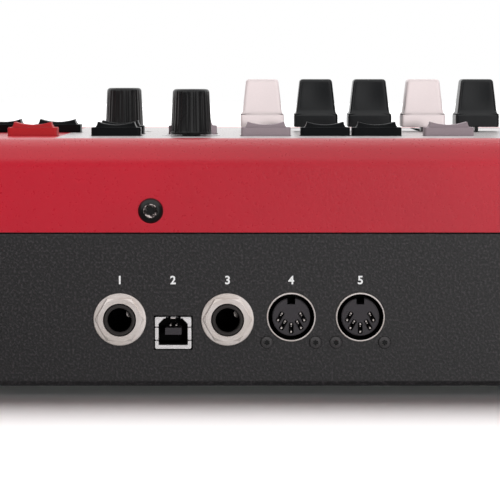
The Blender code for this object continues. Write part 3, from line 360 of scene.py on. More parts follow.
def choose(piece, kind, test):
    """Enter edit mode with only the faces, edges or points that pass the test."""
    solo(piece)
    bpy.ops.object.mode_set(mode="EDIT")
    bpy.ops.mesh.select_mode(type=kind)
    bpy.ops.mesh.select_all(action="DESELECT")
    shape = bmesh.from_edit_mesh(piece.data)
    parts = {"VERT": shape.verts, "EDGE": shape.edges, "FACE": shape.faces}[kind]
    for part in parts:
        if test(part):
            part.select_set(True)
    shape.select_flush_mode()
    bmesh.update_edit_mesh(piece.data)


def outwards(piece):
    """Turn all faces of a closed piece outwards."""
    choose(piece, "FACE", lambda face: True)
    bpy.ops.mesh.normals_make_consistent(inside=False)
    leave()
    return piece


def discard(*pieces):
    """Delete shapes that have served as patterns."""
    for piece in pieces:
        bpy.data.objects.remove(piece)


def upper(face):
    """True for a face that looks up."""
    return face.normal.z > 0.9


def lies(edge, axis, level):
    """True for an edge that lies at one level of an axis."""
    return all(abs(getattr(point.co, axis) - level) < TOUCH for point in edge.verts)


def middle(part):
    """The middle of an edge or a face."""
    points = [corner.co for corner in part.verts]
    return sum(points, Vector()) / len(points)


def extrude(shift):
    """Extrude what is selected."""
    bpy.ops.mesh.extrude_region_move(TRANSFORM_OT_translate={"value": shift})


def reshape(piece, rule):
    """Move every point of a piece by a formula."""
    for point in piece.data.vertices:
        point.co = rule(*point.co)
    return piece


def modify(piece, kind, **settings):
    """Add a modifier, set it and apply it."""
    solo(piece)
    change = piece.modifiers.new(kind, kind)
    for name, value in settings.items():
        setattr(change, name, value)
    bpy.ops.object.modifier_apply(modifier=change.name)
    return piece


def soften(piece, width, segments=2, angle=35):
    """Round the sharp edges."""
    limits = {"limit_method": "ANGLE", "angle_limit": math.radians(angle)}
    return modify(piece, "BEVEL", width=width, segments=segments, harden_normals=False, **limits)


def carve(piece, *tools, operation="DIFFERENCE"):
    """Cut with other objects, which are used up."""
    for tool in tools:
        modify(piece, "BOOLEAN", object=tool, operation=operation, solver="EXACT")
        discard(tool)
    return piece


def lathe(name, profile, centre=(0, 0, 0), axis="Z", steps=48):
    """Spin a closed outline of radius and height points round an axis through the centre."""
    fresh()
    bpy.ops.mesh.primitive_circle_add(vertices=len(profile), radius=1)
    piece = added(name)
    for point, (radius, height) in zip(piece.data.vertices, profile):
        point.co = (radius, 0, height)
    choose(piece, "EDGE", lambda edge: True)
    bpy.ops.mesh.spin(steps=steps, angle=math.tau, center=(0, 0, 0), axis=(0, 0, 1), use_auto_merge=True)
    bpy.ops.mesh.select_all(action="SELECT")
    bpy.ops.mesh.remove_doubles(threshold=0.000005)
    bpy.ops.mesh.delete_loose(use_verts=True, use_edges=True, use_faces=False)
    outwards(piece)
    if axis == "Y":
        piece.data.transform(Matrix.Rotation(math.radians(-90), 4, "X"))
    piece.data.transform(Matrix.Translation(centre))
    return piece


def drum(name, radius, low, high, centre=(0, 0, 0), axis="Z", sides=32):
    """A round block between two heights along an axis through the centre."""
    profile = [(0, low), (radius, low), (radius, high), (0, high)]
    return lathe(name, profile, centre, axis, sides)


def copied(piece, name, shift=(0, 0, 0)):
    """A copy with its own mesh."""
    twin = piece.copy()
    twin.data = piece.data.copy()
    twin.name = twin.data.name = name
    twin.data.transform(Matrix.Translation(shift))
    bpy.context.scene.collection.objects.link(twin)
    return twin


def united(name, *pieces):
    """Join separate objects into one."""
    solo(pieces[0])
    for piece in pieces:
        piece.select_set(True)
    bpy.ops.object.join()
    pieces[0].name = pieces[0].data.name = name
    return pieces[0]


def dress(piece, body, finish, slot, *nodes, angle=40):
    """Smooth a piece, give it its finish and its body, and hide the CAD nodes that it stands for."""
    solo(piece)
    bpy.ops.object.shade_smooth_by_angle(angle=math.radians(angle))
    modify(piece, "WEIGHTED_NORMAL", keep_sharp=True, weight=90)
    piece.data.materials.clear()
    piece.data.materials.append(finish)
    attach(piece, body)
    if nodes:
        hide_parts(*nodes)
    return piece


# %% [markdown]
# ## The top cover
# The cover is one red sheet, 1.5 mm thick, folded down at the back and behind the keys. A plane becomes
# the deck, its two long edges are extruded down, and the fold lines are bevelled into bends of the real
# radius. Solidify gives the sheet its thickness, and blocks and drums cut the holes for the controls.
# The light grey organ field is printed on it, so it lives in the paint's colour.

# %% The top cover
BEND_RADIUS = 0.009
LIP_RADIUS = 0.004
LIP_EDGE = 0.061
HOLE_CLEARANCE = 0.0003
INK = 0.00004
STEM = (0.0024, 0.008)
DRAWBAR_TRAVEL = 0.032
SHAFT_RADIUS = 0.003


def folded(name, start, path, width):
    """A sheet that follows a path of points in Y and Z, all along X."""
    fresh()
    bpy.ops.mesh.primitive_plane_add(size=1)
    piece = added(name)
    (y0, z0), (y1, z1) = start
    reshape(piece, lambda x, y, z: (x * 2 * width, y0 if y < 0 else y1, z0 if y < 0 else z1))
    here = Vector((0, y1, z1))
    for y, z in path:
        choose(piece, "EDGE", lambda edge: (middle(edge) - here).length < TOUCH)
        extrude((0, y - here.y, z - here.z))
        here = Vector((0, y, z))
    leave()
    return piece


def bend(piece, y, z, radius, segments):
    """Round the fold line that runs along X at one place."""
    choose(piece, "EDGE", lambda edge: (middle(edge) - Vector((0, y, z))).length < TOUCH)
    bpy.ops.mesh.bevel(offset=radius, segments=segments, affect="EDGES", offset_type="OFFSET")
    leave()


def node_middle(node):
    """The middle of a CAD node's box."""
    low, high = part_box(node)
    return (low + high) / 2


def opening(x, near, far, reach):
    """A cutter through the deck, from near to far and as far as reach to both sides of x."""
    return block("cutter", (x - reach, near, under), (x + reach, far, over))


names = sorted(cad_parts)
BUTTON_NODES = [name for name in names if name.startswith("button_") and name != "button_mat"]
KNOB_NODES = [name for name in names if name.startswith("knob_")]
DRAWBAR_NODES = [name for name in names if name.startswith("drawbar_")]
PROGRAM_X = [-0.06 + 0.02 * index for index in range(6)]
EFFECT_X = [HALF_TRAY - 0.275 + 0.042 * index for index in range(5)]
MAT_Y = node_middle("button_mat").y
MAT_BUTTON = (0.012, 0.007)
WINDOW_REACH = (0.039, 0.014)

cover = folded("cover", ((LIP, LIP_EDGE), (LIP, DECK)), [(REAR, DECK), (REAR, SEAM)], HALF_TRAY)
bend(cover, REAR, DECK, BEND_RADIUS, 14)
bend(cover, LIP, DECK, LIP_RADIUS, 8)
outwards(cover)
upward = max((face.normal.z for face in cover.data.polygons), key=abs) > 0
modify(cover, "SOLIDIFY", thickness=SHEET * (1 if upward else -1), offset=-1)
outwards(cover)
soften(cover, 0.0002, 2, 60)

under, over = DECK - 2 * SHEET, DECK + SHEET
margin = Vector((HOLE_CLEARANCE, HOLE_CLEARANCE))
cutters = []
for near, far in map(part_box, BUTTON_NODES):
    cutters.append(block("cutter", (*(near.xy - margin), under), (*(far.xy + margin), over)))
reach = [side / 2 + HOLE_CLEARANCE for side in MAT_BUTTON]
cutters += [opening(x, MAT_Y - reach[1], MAT_Y + reach[1], reach[0]) for x in PROGRAM_X + EFFECT_X]
reach = [side / 2 + HOLE_CLEARANCE for side in STEM]
for at in map(node_middle, DRAWBAR_NODES):
    cutters.append(opening(at.x, at.y - DRAWBAR_TRAVEL - reach[1], at.y + reach[1], reach[0]))
for node in KNOB_NODES + ["program_dial"]:
    at = node_middle(node)
    cutters.append(drum("cutter", SHAFT_RADIUS + HOLE_CLEARANCE, under, over, (*at.xy, 0), sides=24))
window = node_middle("display")
cutters.append(opening(window.x, window.y - WINDOW_REACH[1], window.y + WINDOW_REACH[1], WINDOW_REACH[0]))
carve(cover, united("cutters", *cutters))

cover_paint, sheet, ground = powder("cover_paint", PAINT_RED, RED_SPECK, 0.29, 0.9, 0.00005)
FIELD = ((-0.3725, -0.1443), (LIP + 0.01, REAR - BEND_RADIUS - 0.0015))
x, y, z = sheet.place()
across = abs(x - sum(FIELD[0]) / 2) - (FIELD[0][1] - FIELD[0][0]) / 2
along = abs(y - sum(FIELD[1]) / 2) - (FIELD[1][1] - FIELD[1][0]) / 2
printed = (0 - across.highest(along)).above(0) * z.above(DECK - GAP)
sheet.colour(printed, ground, FIELD_GREY)
dress(cover, "case", cover_paint, "red_paint", "top_cover", angle=30)
print("cover", len(cover.data.polygons), "faces")

# %% [markdown]
# ## The bottom tray
# The tray is a black powder-coated sheet. Its rear wall carries the sockets, and above the seam a
# joggled flange runs up behind the cover. The same folding steps make it, with a tighter bend below.

# %% The bottom tray
TRAY_BEND = 0.002
JOGGLE_TOP = tray_high.z
TRAY_SEAM = SEAM - GAP
FRONT_WALL_TOP = 0.035
JACK_NODES = ["pedal_jack_left", "pedal_jack_right", "control_pedal_jack", "headphone_jack"]
JACK_RADIUS = 0.0051
LINE_PITCH = 0.028
ROUND_RADIUS = 0.00755
ROUND_NODES = ["five_pin_socket_out", "five_pin_socket_in"]
JACK_Z, ROUND_Z, DATA_Z, MAINS_Z = 0.0235, 0.0242, 0.0193, 0.0265
ROCKER = (0.013, 0.019)
WALL_HOLES = {"square_data_socket": (0.0114, 0.0101, DATA_Z), "mains_inlet": (0.0275, 0.02, MAINS_Z),
    "power_rocker": (*ROCKER, MAINS_Z)}

inner = WALL - SHEET
path = [(WALL, UNDERSIDE), (WALL, TRAY_SEAM), (inner, TRAY_SEAM), (inner, JOGGLE_TOP)]
tray = folded("tray", ((FRONT, FRONT_WALL_TOP), (FRONT, UNDERSIDE)), path, HALF_TRAY - SHEET)
bend(tray, WALL, UNDERSIDE, TRAY_BEND, 8)
bend(tray, FRONT, UNDERSIDE, TRAY_BEND, 8)
outwards(tray)
upward = max(tray.data.polygons, key=lambda face: face.area).normal.z > 0
modify(tray, "SOLIDIFY", thickness=SHEET * (-1 if upward else 1), offset=-1)
bend(tray, WALL, TRAY_SEAM, 0.0005, 3)
outwards(tray)

line_middle = node_middle("line_output_pair")
jack_places = [node_middle(node).x for node in JACK_NODES]
jack_places += [line_middle.x - LINE_PITCH / 2, line_middle.x + LINE_PITCH / 2]
through = (inner - SHEET, WALL + SHEET)
hole = JACK_RADIUS + HOLE_CLEARANCE
cutters = [drum("cutter", hole, *through, (x, 0, JACK_Z), "Y") for x in jack_places]
for node in ROUND_NODES:
    at = (node_middle(node).x, 0, ROUND_Z)
    cutters.append(drum("cutter", ROUND_RADIUS + GAP / 2, *through, at, "Y", 64))
for node, (wide, high, level) in WALL_HOLES.items():
    x, reach = node_middle(node).x, (wide / 2 + HOLE_CLEARANCE, high / 2 + HOLE_CLEARANCE)
    low = (x - reach[0], through[0], level - reach[1])
    cutters.append(block("cutter", low, (x + reach[0], through[1], level + reach[1])))
carve(tray, united("cutters", *cutters))
for side in (-1, 1):
    ends = sorted((side * HALF_TRAY, side * (HALF_TRAY - SHEET + 0.0001)))
    plate = block("plate", (ends[0], FRONT + GAP, UNDERSIDE + GAP),
        (ends[1], WALL - GAP, TRAY_SEAM - GAP))
    tray = united("tray", tray, plate)
dress(tray, "case", black_coat, "black_powder_coat", "bottom_tray", angle=30)
print("tray", len(tray.data.polygons), "faces")

# %% [markdown]
# ## Helpers for plates, rounded corners and copies
# Many parts are a flat outline with a thickness. A filled circle is such an outline: its points move to
# their places, and the face is extruded. A shape that repeats is made once, at the origin or in the first
# place, and copied to the others.


# %% Helpers for plates and copies
def plate(name, outline, low, high, axis="Z"):
    """An outline extruded between two levels of an axis."""
    fresh()
    bpy.ops.mesh.primitive_circle_add(vertices=len(outline), radius=1, fill_type="NGON")
    piece = added(name)
    for point, (first, second) in zip(piece.data.vertices, outline):
        point.co = (first, second, low)
    choose(piece, "FACE", lambda face: True)
    extrude((0, 0, high - low))
    leave()
    if axis == "X":
        reshape(piece, lambda x, y, z: (z, x, y))
    if axis == "Y":
        reshape(piece, lambda x, y, z: (x, z, y))
    return outwards(piece)


def arc(centre, radius, start, end, steps):
    """Points on an arc, with its angles in degrees."""
    angles = [math.radians(start + (end - start) * step / steps) for step in range(steps + 1)]
    x, y = centre
    return [(x + radius * math.cos(angle), y + radius * math.sin(angle)) for angle in angles]


def rounded(wide, high, radius, centre=(0, 0), steps=5):
    """The outline of a rectangle with round corners."""
    points = []
    for turn, (first, second) in enumerate(((1, 1), (-1, 1), (-1, -1), (1, -1))):
        corner = (centre[0] + first * (wide / 2 - radius), centre[1] + second * (high / 2 - radius))
        points += arc(corner, radius, 90 * turn, 90 * turn + 90, steps)
    return points


def spread(piece, places):
    """Copies of a shape at named places. The shape itself is used up."""
    twins = [copied(piece, name, place) for name, place in places.items()]
    discard(piece)
    return twins


def bisect(piece, co, no):
    """Cut all of a mesh's faces along a plane, and keep both sides."""
    choose(piece, "FACE", lambda face: True)
    bpy.ops.mesh.bisect(plane_co=co, plane_no=no)
    leave()


def bevel_edges(piece, test, width, segments=3):
    """Round the edges that pass the test."""
    choose(piece, "EDGE", test)
    bpy.ops.mesh.bevel(offset=width, segments=segments, affect="EDGES")
    leave()


# %% [markdown]
# ## The end cheeks
# Wooden blocks close the ends. Their side view follows the deck, falls in a long curve beside the keys
# and turns down at the front. The outline is a plate across X whose edges are rounded. The grain is noise
# that is stretched along the length of the wood, under a red stain.

# %% The end cheeks
CHEEK_GAP = 0.0003
CHEEK_BROW = 0.066
CHEEK_CREST = LIP + 0.012
CHEEK_FRONT_RADIUS = 0.014
CHEEK_FOOT_RADIUS = 0.004
CHEEK_EDGE = 0.0016

profile = [(REAR - 0.001, UNDERSIDE), (REAR, UNDERSIDE + 0.001)]
profile += arc((REAR - BEND_RADIUS, DECK - BEND_RADIUS), BEND_RADIUS, 0, 90, 12)
front_start = FRONT + CHEEK_FRONT_RADIUS
for step in range(19):
    share = step / 18
    ease = share * share * (3 - 2 * share)
    profile.append((CHEEK_CREST + (front_start - CHEEK_CREST) * share, DECK + (CHEEK_BROW - DECK) * ease))
profile += arc((front_start, CHEEK_BROW - CHEEK_FRONT_RADIUS), CHEEK_FRONT_RADIUS, 90, 180, 14)[1:]
profile += arc((FRONT + CHEEK_FOOT_RADIUS, UNDERSIDE + CHEEK_FOOT_RADIUS), CHEEK_FOOT_RADIUS, 180, 270, 6)
cheek_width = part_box("cheek_right")[1].x - HALF_TRAY - CHEEK_GAP
start = HALF_TRAY + CHEEK_GAP
right_cheek = plate("cheek_right_wood", profile, start, start + cheek_width, "X")
outside = start + cheek_width
bevel_edges(right_cheek, lambda edge: lies(edge, "x", outside), CHEEK_EDGE, 5)
bevel_edges(right_cheek, lambda edge: lies(edge, "x", start), 0.0004, 2)
left_cheek = copied(right_cheek, "cheek_left_wood")
outwards(reshape(left_cheek, lambda x, y, z: (-x, y, z)))

red_wood, sheet = material("red_wood", (0.33, 0.014, 0.02), 0.34, Coat_Weight=0.25, Coat_Roughness=0.2)
grain = sheet.noise(90, 5.0, (9, 0.35, 3.2))
pores = sheet.noise(600, 2.0, (4, 0.12, 4))
rings = sheet.step(grain, 0.38, 0.62)
dark_pores = sheet.step(pores, 0.6, 0.74) * 0.55
stain = sheet.blend(rings, (0.3, 0.01, 0.017), (0.43, 0.018, 0.027))
sheet.colour(dark_pores, stain, (0.15, 0.006, 0.009))
sheet.rough(pores * 0.16 + 0.28)
sheet.dent(pores * 0.6 + grain * 0.4, 0.00012)
for cheek, node in ((left_cheek, "cheek_left"), (right_cheek, "cheek_right")):
    dress(cheek, "case", red_wood, "red_wood", node, angle=50)
print("cheek width", round(cheek_width * 1000, 2), "mm")

# %% [markdown]
# ## Natural keys
# The naturals have straight, square fronts that turn down over the key bed. One key is a T-shaped plate:
# wide in front, narrow between the sharps. Cuts across its underside let the apron and its two short side
# walls be extruded down, as one moulding. An octave is made once and copied four times, and the last one
# gets the top key as well. White keys are glossy, with a trace of warmth and the faintest ripple.

# %% Natural keys
KEY_PITCH = 0.0235
KEY_SLIT = 0.001
KEY_SLAB = 0.0055
SLOT_BETWEEN = 0.013
SPINE_FRONT, SPINE_DROP = 0.02, 0.009
PIVOT_GAP = 0.0002
KEYS_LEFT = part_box("naturals_octave_1")[0].x - KEY_SLIT / 2
_, KEY_FRONT, APRON_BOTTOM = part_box("naturals_octave_1")[0]
_, PIVOT_Y, KEY_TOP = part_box("naturals_octave_1")[1]
_, SHARP_FRONT, LEVER_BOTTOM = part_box("sharps_octave_1")[0]
SHARP_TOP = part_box("sharps_octave_1")[1].z
NOTCH = SHARP_FRONT - 0.0012
APRON, APRON_SIDE = 0.0026, 0.01


def octave_plan():
    """The edges of the seven tails and the middles of the five sharps."""
    tails, sharps, left = [], [], 0.0
    for count in (3, 4):
        tail = (count * KEY_PITCH - (count - 1) * SLOT_BETWEEN) / count
        for index in range(count):
            start = left + index * (tail + SLOT_BETWEEN)
            tails.append((start, start + tail))
            if index < count - 1:
                sharps.append(start + tail + SLOT_BETWEEN / 2)
        left += count * KEY_PITCH
    return tails, sharps


def natural(index, tail):
    """One natural key, with its head's left edge at a whole number of pitches."""
    left, right = index * KEY_PITCH + KEY_SLIT / 2, (index + 1) * KEY_PITCH - KEY_SLIT / 2
    tail_left, tail_right = max(tail[0], left), min(tail[1], right)
    outline = [(left, KEY_FRONT), (right, KEY_FRONT)]
    if tail_right < right:
        outline += [(right, NOTCH), (tail_right, NOTCH)]
    outline += [(tail_right, SPINE_FRONT), (tail_left, SPINE_FRONT)]
    if tail_left > left:
        outline += [(tail_left, NOTCH), (left, NOTCH)]
    outline = [(KEYS_LEFT + x, y) for x, y in outline]
    key = plate("natural", outline, KEY_TOP - KEY_SLAB, KEY_TOP)
    for wall in (APRON, APRON_SIDE):
        bisect(key, (0, KEY_FRONT + wall, 0), (0, 1, 0))
    inner = (KEYS_LEFT + left + APRON, KEYS_LEFT + right - APRON)
    for wall in inner:
        bisect(key, (wall, 0, 0), (1, 0, 0))

    def underside(face):
        at = middle(face)
        deep = at.y < KEY_FRONT + APRON_SIDE and face.normal.z < -0.9
        return deep and (at.y < KEY_FRONT + APRON or at.x < inner[0] or at.x > inner[1])

    choose(key, "FACE", underside)
    extrude((0, 0, APRON_BOTTOM - KEY_TOP + KEY_SLAB))
    leave()
    bevel_edges(key, lambda edge: lies(edge, "y", KEY_FRONT) and lies(edge, "z", KEY_TOP), 0.0012, 4)
    return soften(key, 0.0004, 2, 40)


tails, sharp_middles = octave_plan()
keys = [natural(index, tail) for index, tail in enumerate(tails)]
octave_left = KEYS_LEFT + KEY_SLIT / 2
octave_right = KEYS_LEFT + 7 * KEY_PITCH - KEY_SLIT / 2
spine_low = KEY_TOP - SPINE_DROP
keys.append(soften(block("spine", (octave_left + PIVOT_GAP, SPINE_FRONT - 0.0006, spine_low),
    (octave_right - PIVOT_GAP, PIVOT_Y - PIVOT_GAP, KEY_TOP)), 0.0006))
octave = united("octave", *keys)
top_key = natural(7, (7 * KEY_PITCH, 8 * KEY_PITCH))
spine = block("spine", (octave_right - KEY_SLIT * 2, SPINE_FRONT - 0.0006, spine_low),
    (octave_right + KEY_PITCH, PIVOT_Y - PIVOT_GAP, KEY_TOP))
top_key = united("top_key", top_key, soften(spine, 0.0006))
places = {"naturals_" + str(number + 1): (7 * KEY_PITCH * number, 0, 0) for number in range(5)}
combs = spread(octave, places)
last_shift = (7 * KEY_PITCH * 4, 0, 0)
combs[4] = united("naturals_5", combs[4], copied(top_key, "top_key_placed", last_shift))
discard(top_key)

key_white = grained("key_white", (0.79, 0.775, 0.735), 0.16, 0.004, 0.012, 0.000015, Coat_Weight=0.3,
    Coat_Roughness=0.06)
for number, comb in enumerate(combs, 1):
    dress(comb, "naturals_" + str(number), key_white, "key_white", "naturals_octave_" + str(number))
print("an octave has", len(combs[0].data.polygons), "faces")

# %% [markdown]
# ## Sharp keys
# A sharp is a bar that narrows towards its top and slopes back at its front end. A block is cut at the
# naturals' level, and its upper points are moved in. All edges are rounded where fingers slide. The levers
# and the spine under the naturals carry the five bars, so they are part of the same moulding.

# %% Sharp keys
SHARP_WIDTH, SHARP_TOP_WIDTH = 0.0106, 0.0092
SHARP_SLOPE = 0.006
KEY_REAR = LIP - 0.0012
LEVER_TOP = LEVER_BOTTOM + 0.007


def sharp(place):
    """One black bar, on a lever that runs back to the spine."""
    left, right = KEYS_LEFT + place - SHARP_WIDTH / 2, KEYS_LEFT + place + SHARP_WIDTH / 2
    bar = block("sharp", (left, SHARP_FRONT, LEVER_TOP - 0.0035), (right, KEY_REAR, SHARP_TOP))
    bisect(bar, (0, 0, KEY_TOP), (0, 0, 1))
    narrowing = SHARP_TOP_WIDTH / SHARP_WIDTH

    def taper(x, y, z):
        if z < SHARP_TOP - TOUCH:
            return x, y, z
        centre = KEYS_LEFT + place
        return centre + (x - centre) * narrowing, y + (SHARP_SLOPE if y < NOTCH + 0.01 else 0), z

    soften(reshape(bar, taper), 0.0013, 5, 30)
    lever = block("lever", (left + 0.0004, SHARP_FRONT + 0.003, LEVER_BOTTOM),
        (right - 0.0004, SPINE_FRONT + 0.001, LEVER_TOP))
    return united("sharp", bar, soften(lever, 0.0004))


bars = [sharp(place) for place in sharp_middles]
reach = SHARP_WIDTH / 2 + 0.002
spine = block("spine", (KEYS_LEFT + sharp_middles[0] - reach, SPINE_FRONT, LEVER_BOTTOM),
    (KEYS_LEFT + sharp_middles[-1] + reach, PIVOT_Y, LEVER_TOP))
octave = united("octave", *bars, soften(spine, 0.0004))
places = {"sharps_" + str(number + 1): (7 * KEY_PITCH * number, 0, 0) for number in range(5)}
key_black = grained("key_black", (0.0085, 0.0085, 0.009), 0.26, 0.0006, 0.2, 0.00001, Coat_Weight=0.15,
    Coat_Roughness=0.15)
for number, comb in enumerate(spread(octave, places), 1):
    dress(comb, "sharps_" + str(number), key_black, "key_black", "sharps_octave_" + str(number))
print("sharps", len(sharp_middles), "to an octave")

# %% [markdown]
# ## Drawbars
# A drawbar's cap is a block with a ledge all round, and a tapered grip above the ledge, hollowed a little
# where they meet. One cube gives it: its top face is extruded and scaled again and again, and a bevel
# rounds the corners. The cap stands on a thin black blade that runs in a slot of the deck.

# %% Drawbars
CAP_LIFT = 0.0016
CAP_DISH = 0.0004
CAP_LEVELS = [
    (0.0, 0.0149, 0.014), (0.0042, 0.0149, 0.014), (0.0046, 0.014, 0.0128), (0.0051, 0.0136, 0.012),
    (0.006, 0.0133, 0.0116), (0.0164, 0.011, 0.009),
]
CAP_COLOURS = ["brown", "brown", "white", "white", "black", "white", "black", "black", "white"]
BLADE = (0.0012, 0.0076)
BOARD_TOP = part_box("panel_board")[1].z


def tower(name, levels):
    """A block whose top face is extruded and scaled from level to level of height, width and depth."""
    (low, wide, deep), (high, _, _) = levels[:2]
    piece = block(name, (-wide / 2, -deep / 2, low), (wide / 2, deep / 2, high))
    for height, next_wide, next_deep in levels[2:]:
        choose(piece, "FACE", lambda face: upper(face) and abs(middle(face).z - high) < TOUCH)
        extrude((0, 0, height - high))
        scale = (next_wide / wide, next_deep / deep, 1)
        bpy.ops.transform.resize(value=scale, center_override=(0, 0, height))
        leave()
        wide, deep, high = next_wide, next_deep, height
    return piece


cap = tower("cap", CAP_LEVELS)
foot, crest = CAP_LEVELS[-2][0], CAP_LEVELS[-1][0]
for share in (0.14, 0.32, 0.5, 0.68, 0.86):
    bisect(cap, (CAP_LEVELS[-1][1] * (share - 0.5), 0, 0), (1, 0, 0))
    bisect(cap, (0, 0, foot + (crest - foot) * share), (0, 0, 1))


def dished(x, y, z):
    """Hollow the front and the back of the grip a little, for the fingers."""
    rise = (z - foot) / (crest - foot)
    if rise <= 0 or rise >= 1:
        return x, y, z
    across = min(1, abs(x) / (CAP_LEVELS[-1][1] / 2))
    return x, y - math.copysign(CAP_DISH * 4 * rise * (1 - rise) * (1 - across * across), y), z


reshape(cap, dished)


def corner_edge(edge):
    """True for the edges that rise along the four corners."""
    steep = abs(edge.verts[0].co.z - edge.verts[1].co.z) > 1e-5
    return steep and len(edge.link_faces) == 2 and edge.calc_face_angle() > 1.2


def level_edge(edge, level):
    """True for the edges of the outline at one level."""
    return lies(edge, "z", level) and edge.calc_face_angle() > 0.1


bevel_edges(cap, corner_edge, 0.0011, 4)
bevel_edges(cap, lambda edge: level_edge(edge, crest), 0.001, 4)
bevel_edges(cap, lambda edge: level_edge(edge, 0.0042), 0.0005, 3)
bevel_edges(cap, lambda edge: level_edge(edge, 0.0), 0.0003, 2)
low, high = BOARD_TOP + GAP - DECK - CAP_LIFT, 0.0005
blade = soften(block("blade", (-BLADE[0] / 2, -BLADE[1] / 2, low), (BLADE[0] / 2, BLADE[1] / 2, high)),
    0.0002)
caps = {"cap_" + node: (*node_middle(node).xy, DECK + CAP_LIFT) for node in DRAWBAR_NODES}
blades = {name.replace("cap", "blade", 1): place for name, place in caps.items()}
plastics = {"brown": brown_plastic, "white": white_plastic, "black": black_plastic}
for node, colour, made in zip(DRAWBAR_NODES, CAP_COLOURS, spread(cap, caps)):
    dress(made, node + "_slide", plastics[colour], colour + "_plastic", node, angle=50)
for node, made in zip(DRAWBAR_NODES, spread(blade, blades)):
    dress(made, node + "_slide", black_plastic, "black_plastic")

# A black rubber liner edges each drawbar slot. Its black is partly the gasket's own, and partly painted
# shade standing in for the shade down in the slot.
slot = (STEM[0] + 2 * HOLE_CLEARANCE - 0.0001, DRAWBAR_TRAVEL + STEM[1] + 2 * HOLE_CLEARANCE - 0.0001)
liner = plate("liner", rounded(*slot, 0.0001, steps=1), -0.002, INK)
carve(liner, plate("opening", rounded(slot[0] - 0.0008, slot[1] - 0.0006, 0.0004), -0.003, 0.001))
liners = {}
for node in DRAWBAR_NODES:
    at = node_middle(node)
    liners["liner_" + node] = (at.x, at.y - DRAWBAR_TRAVEL / 2, DECK)
dress(united("slot_liners", *spread(liner, liners)), "case", black_rubber, "black_plastic")
print(len(caps), "drawbar caps")

# %% [markdown]
# ## Knobs and the program dial
# A knob is turned on a lathe and then fluted, so its profile is spun round the shaft and every point of
# its side is drawn in by a cosine of its angle. The skirt at the bottom stays round, and the top has a
# shallow dish. A white line on the top shows where the knob points.

# %% Knobs and the program dial
KNOB_TOP = 0.015
SHAFT_FOOT = BOARD_TOP + GAP - DECK
SMALL_KNOB, DIAL = (0.0065, 0.0059, 28, 0.0002), (0.0108, 0.0104, 36, 0.00035)


def knob(name, radius, top, flutes, depth):
    """A fluted knob on its shaft, with the deck at height 0."""
    skirt = radius + 0.0002
    profile = [(0, SHAFT_FOOT), (SHAFT_RADIUS, SHAFT_FOOT), (SHAFT_RADIUS, 0.0004),
        (skirt - 0.0001, 0.0004)]
    profile += [(skirt, 0.0005), (skirt, 0.0008), (skirt - 0.0003, 0.001), (radius + 0.0001, 0.0011)]
    profile += [(radius, 0.0016)]
    profile += [(radius + (top - radius) * share, 0.0016 + (KNOB_TOP - 0.003) * share) for share in (0.3,
        0.6, 0.9)]
    profile += arc((top - 0.0011, KNOB_TOP - 0.0011), 0.0011, 0, 90, 5)
    profile += [(top - 0.0016, KNOB_TOP - 0.0001), (top * 0.55, KNOB_TOP - 0.0004),
        (0, KNOB_TOP - 0.0005)]
    made = lathe(name, profile, steps=flutes * 6)

    def flute(x, y, z):
        share = min(1, max(0, (z - 0.0013) / 0.0006)) * min(1, max(0, (KNOB_TOP - 0.0003 - z) / 0.0014))
        angle = math.atan2(y, x)
        wave = (0.5 - 0.5 * math.cos(flutes * angle)) ** 0.6
        scale = 1 - share * depth * wave / radius
        return x * scale, y * scale, z

    return reshape(made, flute)


def pointer(name, start, end):
    """A raised white line on a knob's top, from near the middle to the rim."""
    line = block(name, (-0.0004, start, KNOB_TOP - 0.0006), (0.0004, end, KNOB_TOP - 0.00005))
    return soften(line, 0.0001, 2)


small, line = knob("small_knob", *SMALL_KNOB), pointer("line", 0.0012, 0.0044)
bodies = {"knob_" + name: name + "_control" for name in ("level", "organ_rear", "organ_front")}
bodies.update({"knob_effect_" + number: "effect_control_" + number for number in "123"})
shifts = {node: (*node_middle(node).xy, DECK) for node in KNOB_NODES}
made = spread(small, {"turned_" + node: shift for node, shift in shifts.items()})
lines = spread(line, {"line_" + node: shift for node, shift in shifts.items()})
knob_plastic = grained("knob_plastic", (0.0045, 0.0045, 0.0048), 0.28, 0.0003, 0.2, level=0.45)
for node, piece, mark in zip(KNOB_NODES, made, lines):
    dress(piece, bodies[node], knob_plastic, "black_plastic", node, angle=50)
    dress(mark, bodies[node], white_ink, "white_plastic")
place = node_middle("program_dial")
dial = copied(knob("dial", *DIAL), "turned_dial", (place.x, place.y, DECK))
discard(bpy.data.objects["dial"])
dimple = lathe("dimple", [(0, 0), (0.0008, -0.0001), (0.0024, 0.0004), (0.0034, 0.001), (0.003, 0.003),
    (0, 0.003)], (place.x, place.y + 0.005, DECK + KNOB_TOP - 0.0012))
carve(dial, dimple)
dress(dial, "dial_control", knob_plastic, "black_plastic", "program_dial", angle=50)
print("knobs", len(made), "and a dial of", len(dial.data.polygons), "faces")

# %% [markdown]
# ## Push buttons
# The buttons are soft caps with a broad foot and a saddle on top whose two ends rise to a thin lip. A
# block is cut into strips along its length, its top is inset and extruded, and a formula then hollows the
# top and flares the ends. Silicone scatters light, so the finish is matt with a fine grain.

# %% Push buttons
BUTTON = (0.0159, 0.0078)
PLINTH, RISE, DIP = 0.0027, 0.0018, 0.001
CREST, FOOT = 0.00595, 0.00665
INSET = 0.0008
SWITCH_RISE = 0.0008
BUTTON_FOOT = BOARD_TOP + SWITCH_RISE + GAP - DECK

cap = block("button", (-BUTTON[0] / 2, -BUTTON[1] / 2, BUTTON_FOOT),
    (BUTTON[0] / 2, BUTTON[1] / 2, PLINTH))
for step in range(1, 16):
    bisect(cap, (BUTTON[0] * (step / 16 - 0.5), 0, 0), (1, 0, 0))
choose(cap, "FACE", upper)
bpy.ops.mesh.inset(thickness=INSET, use_even_offset=True)
for _ in range(3):
    extrude((0, 0, RISE / 3))
leave()


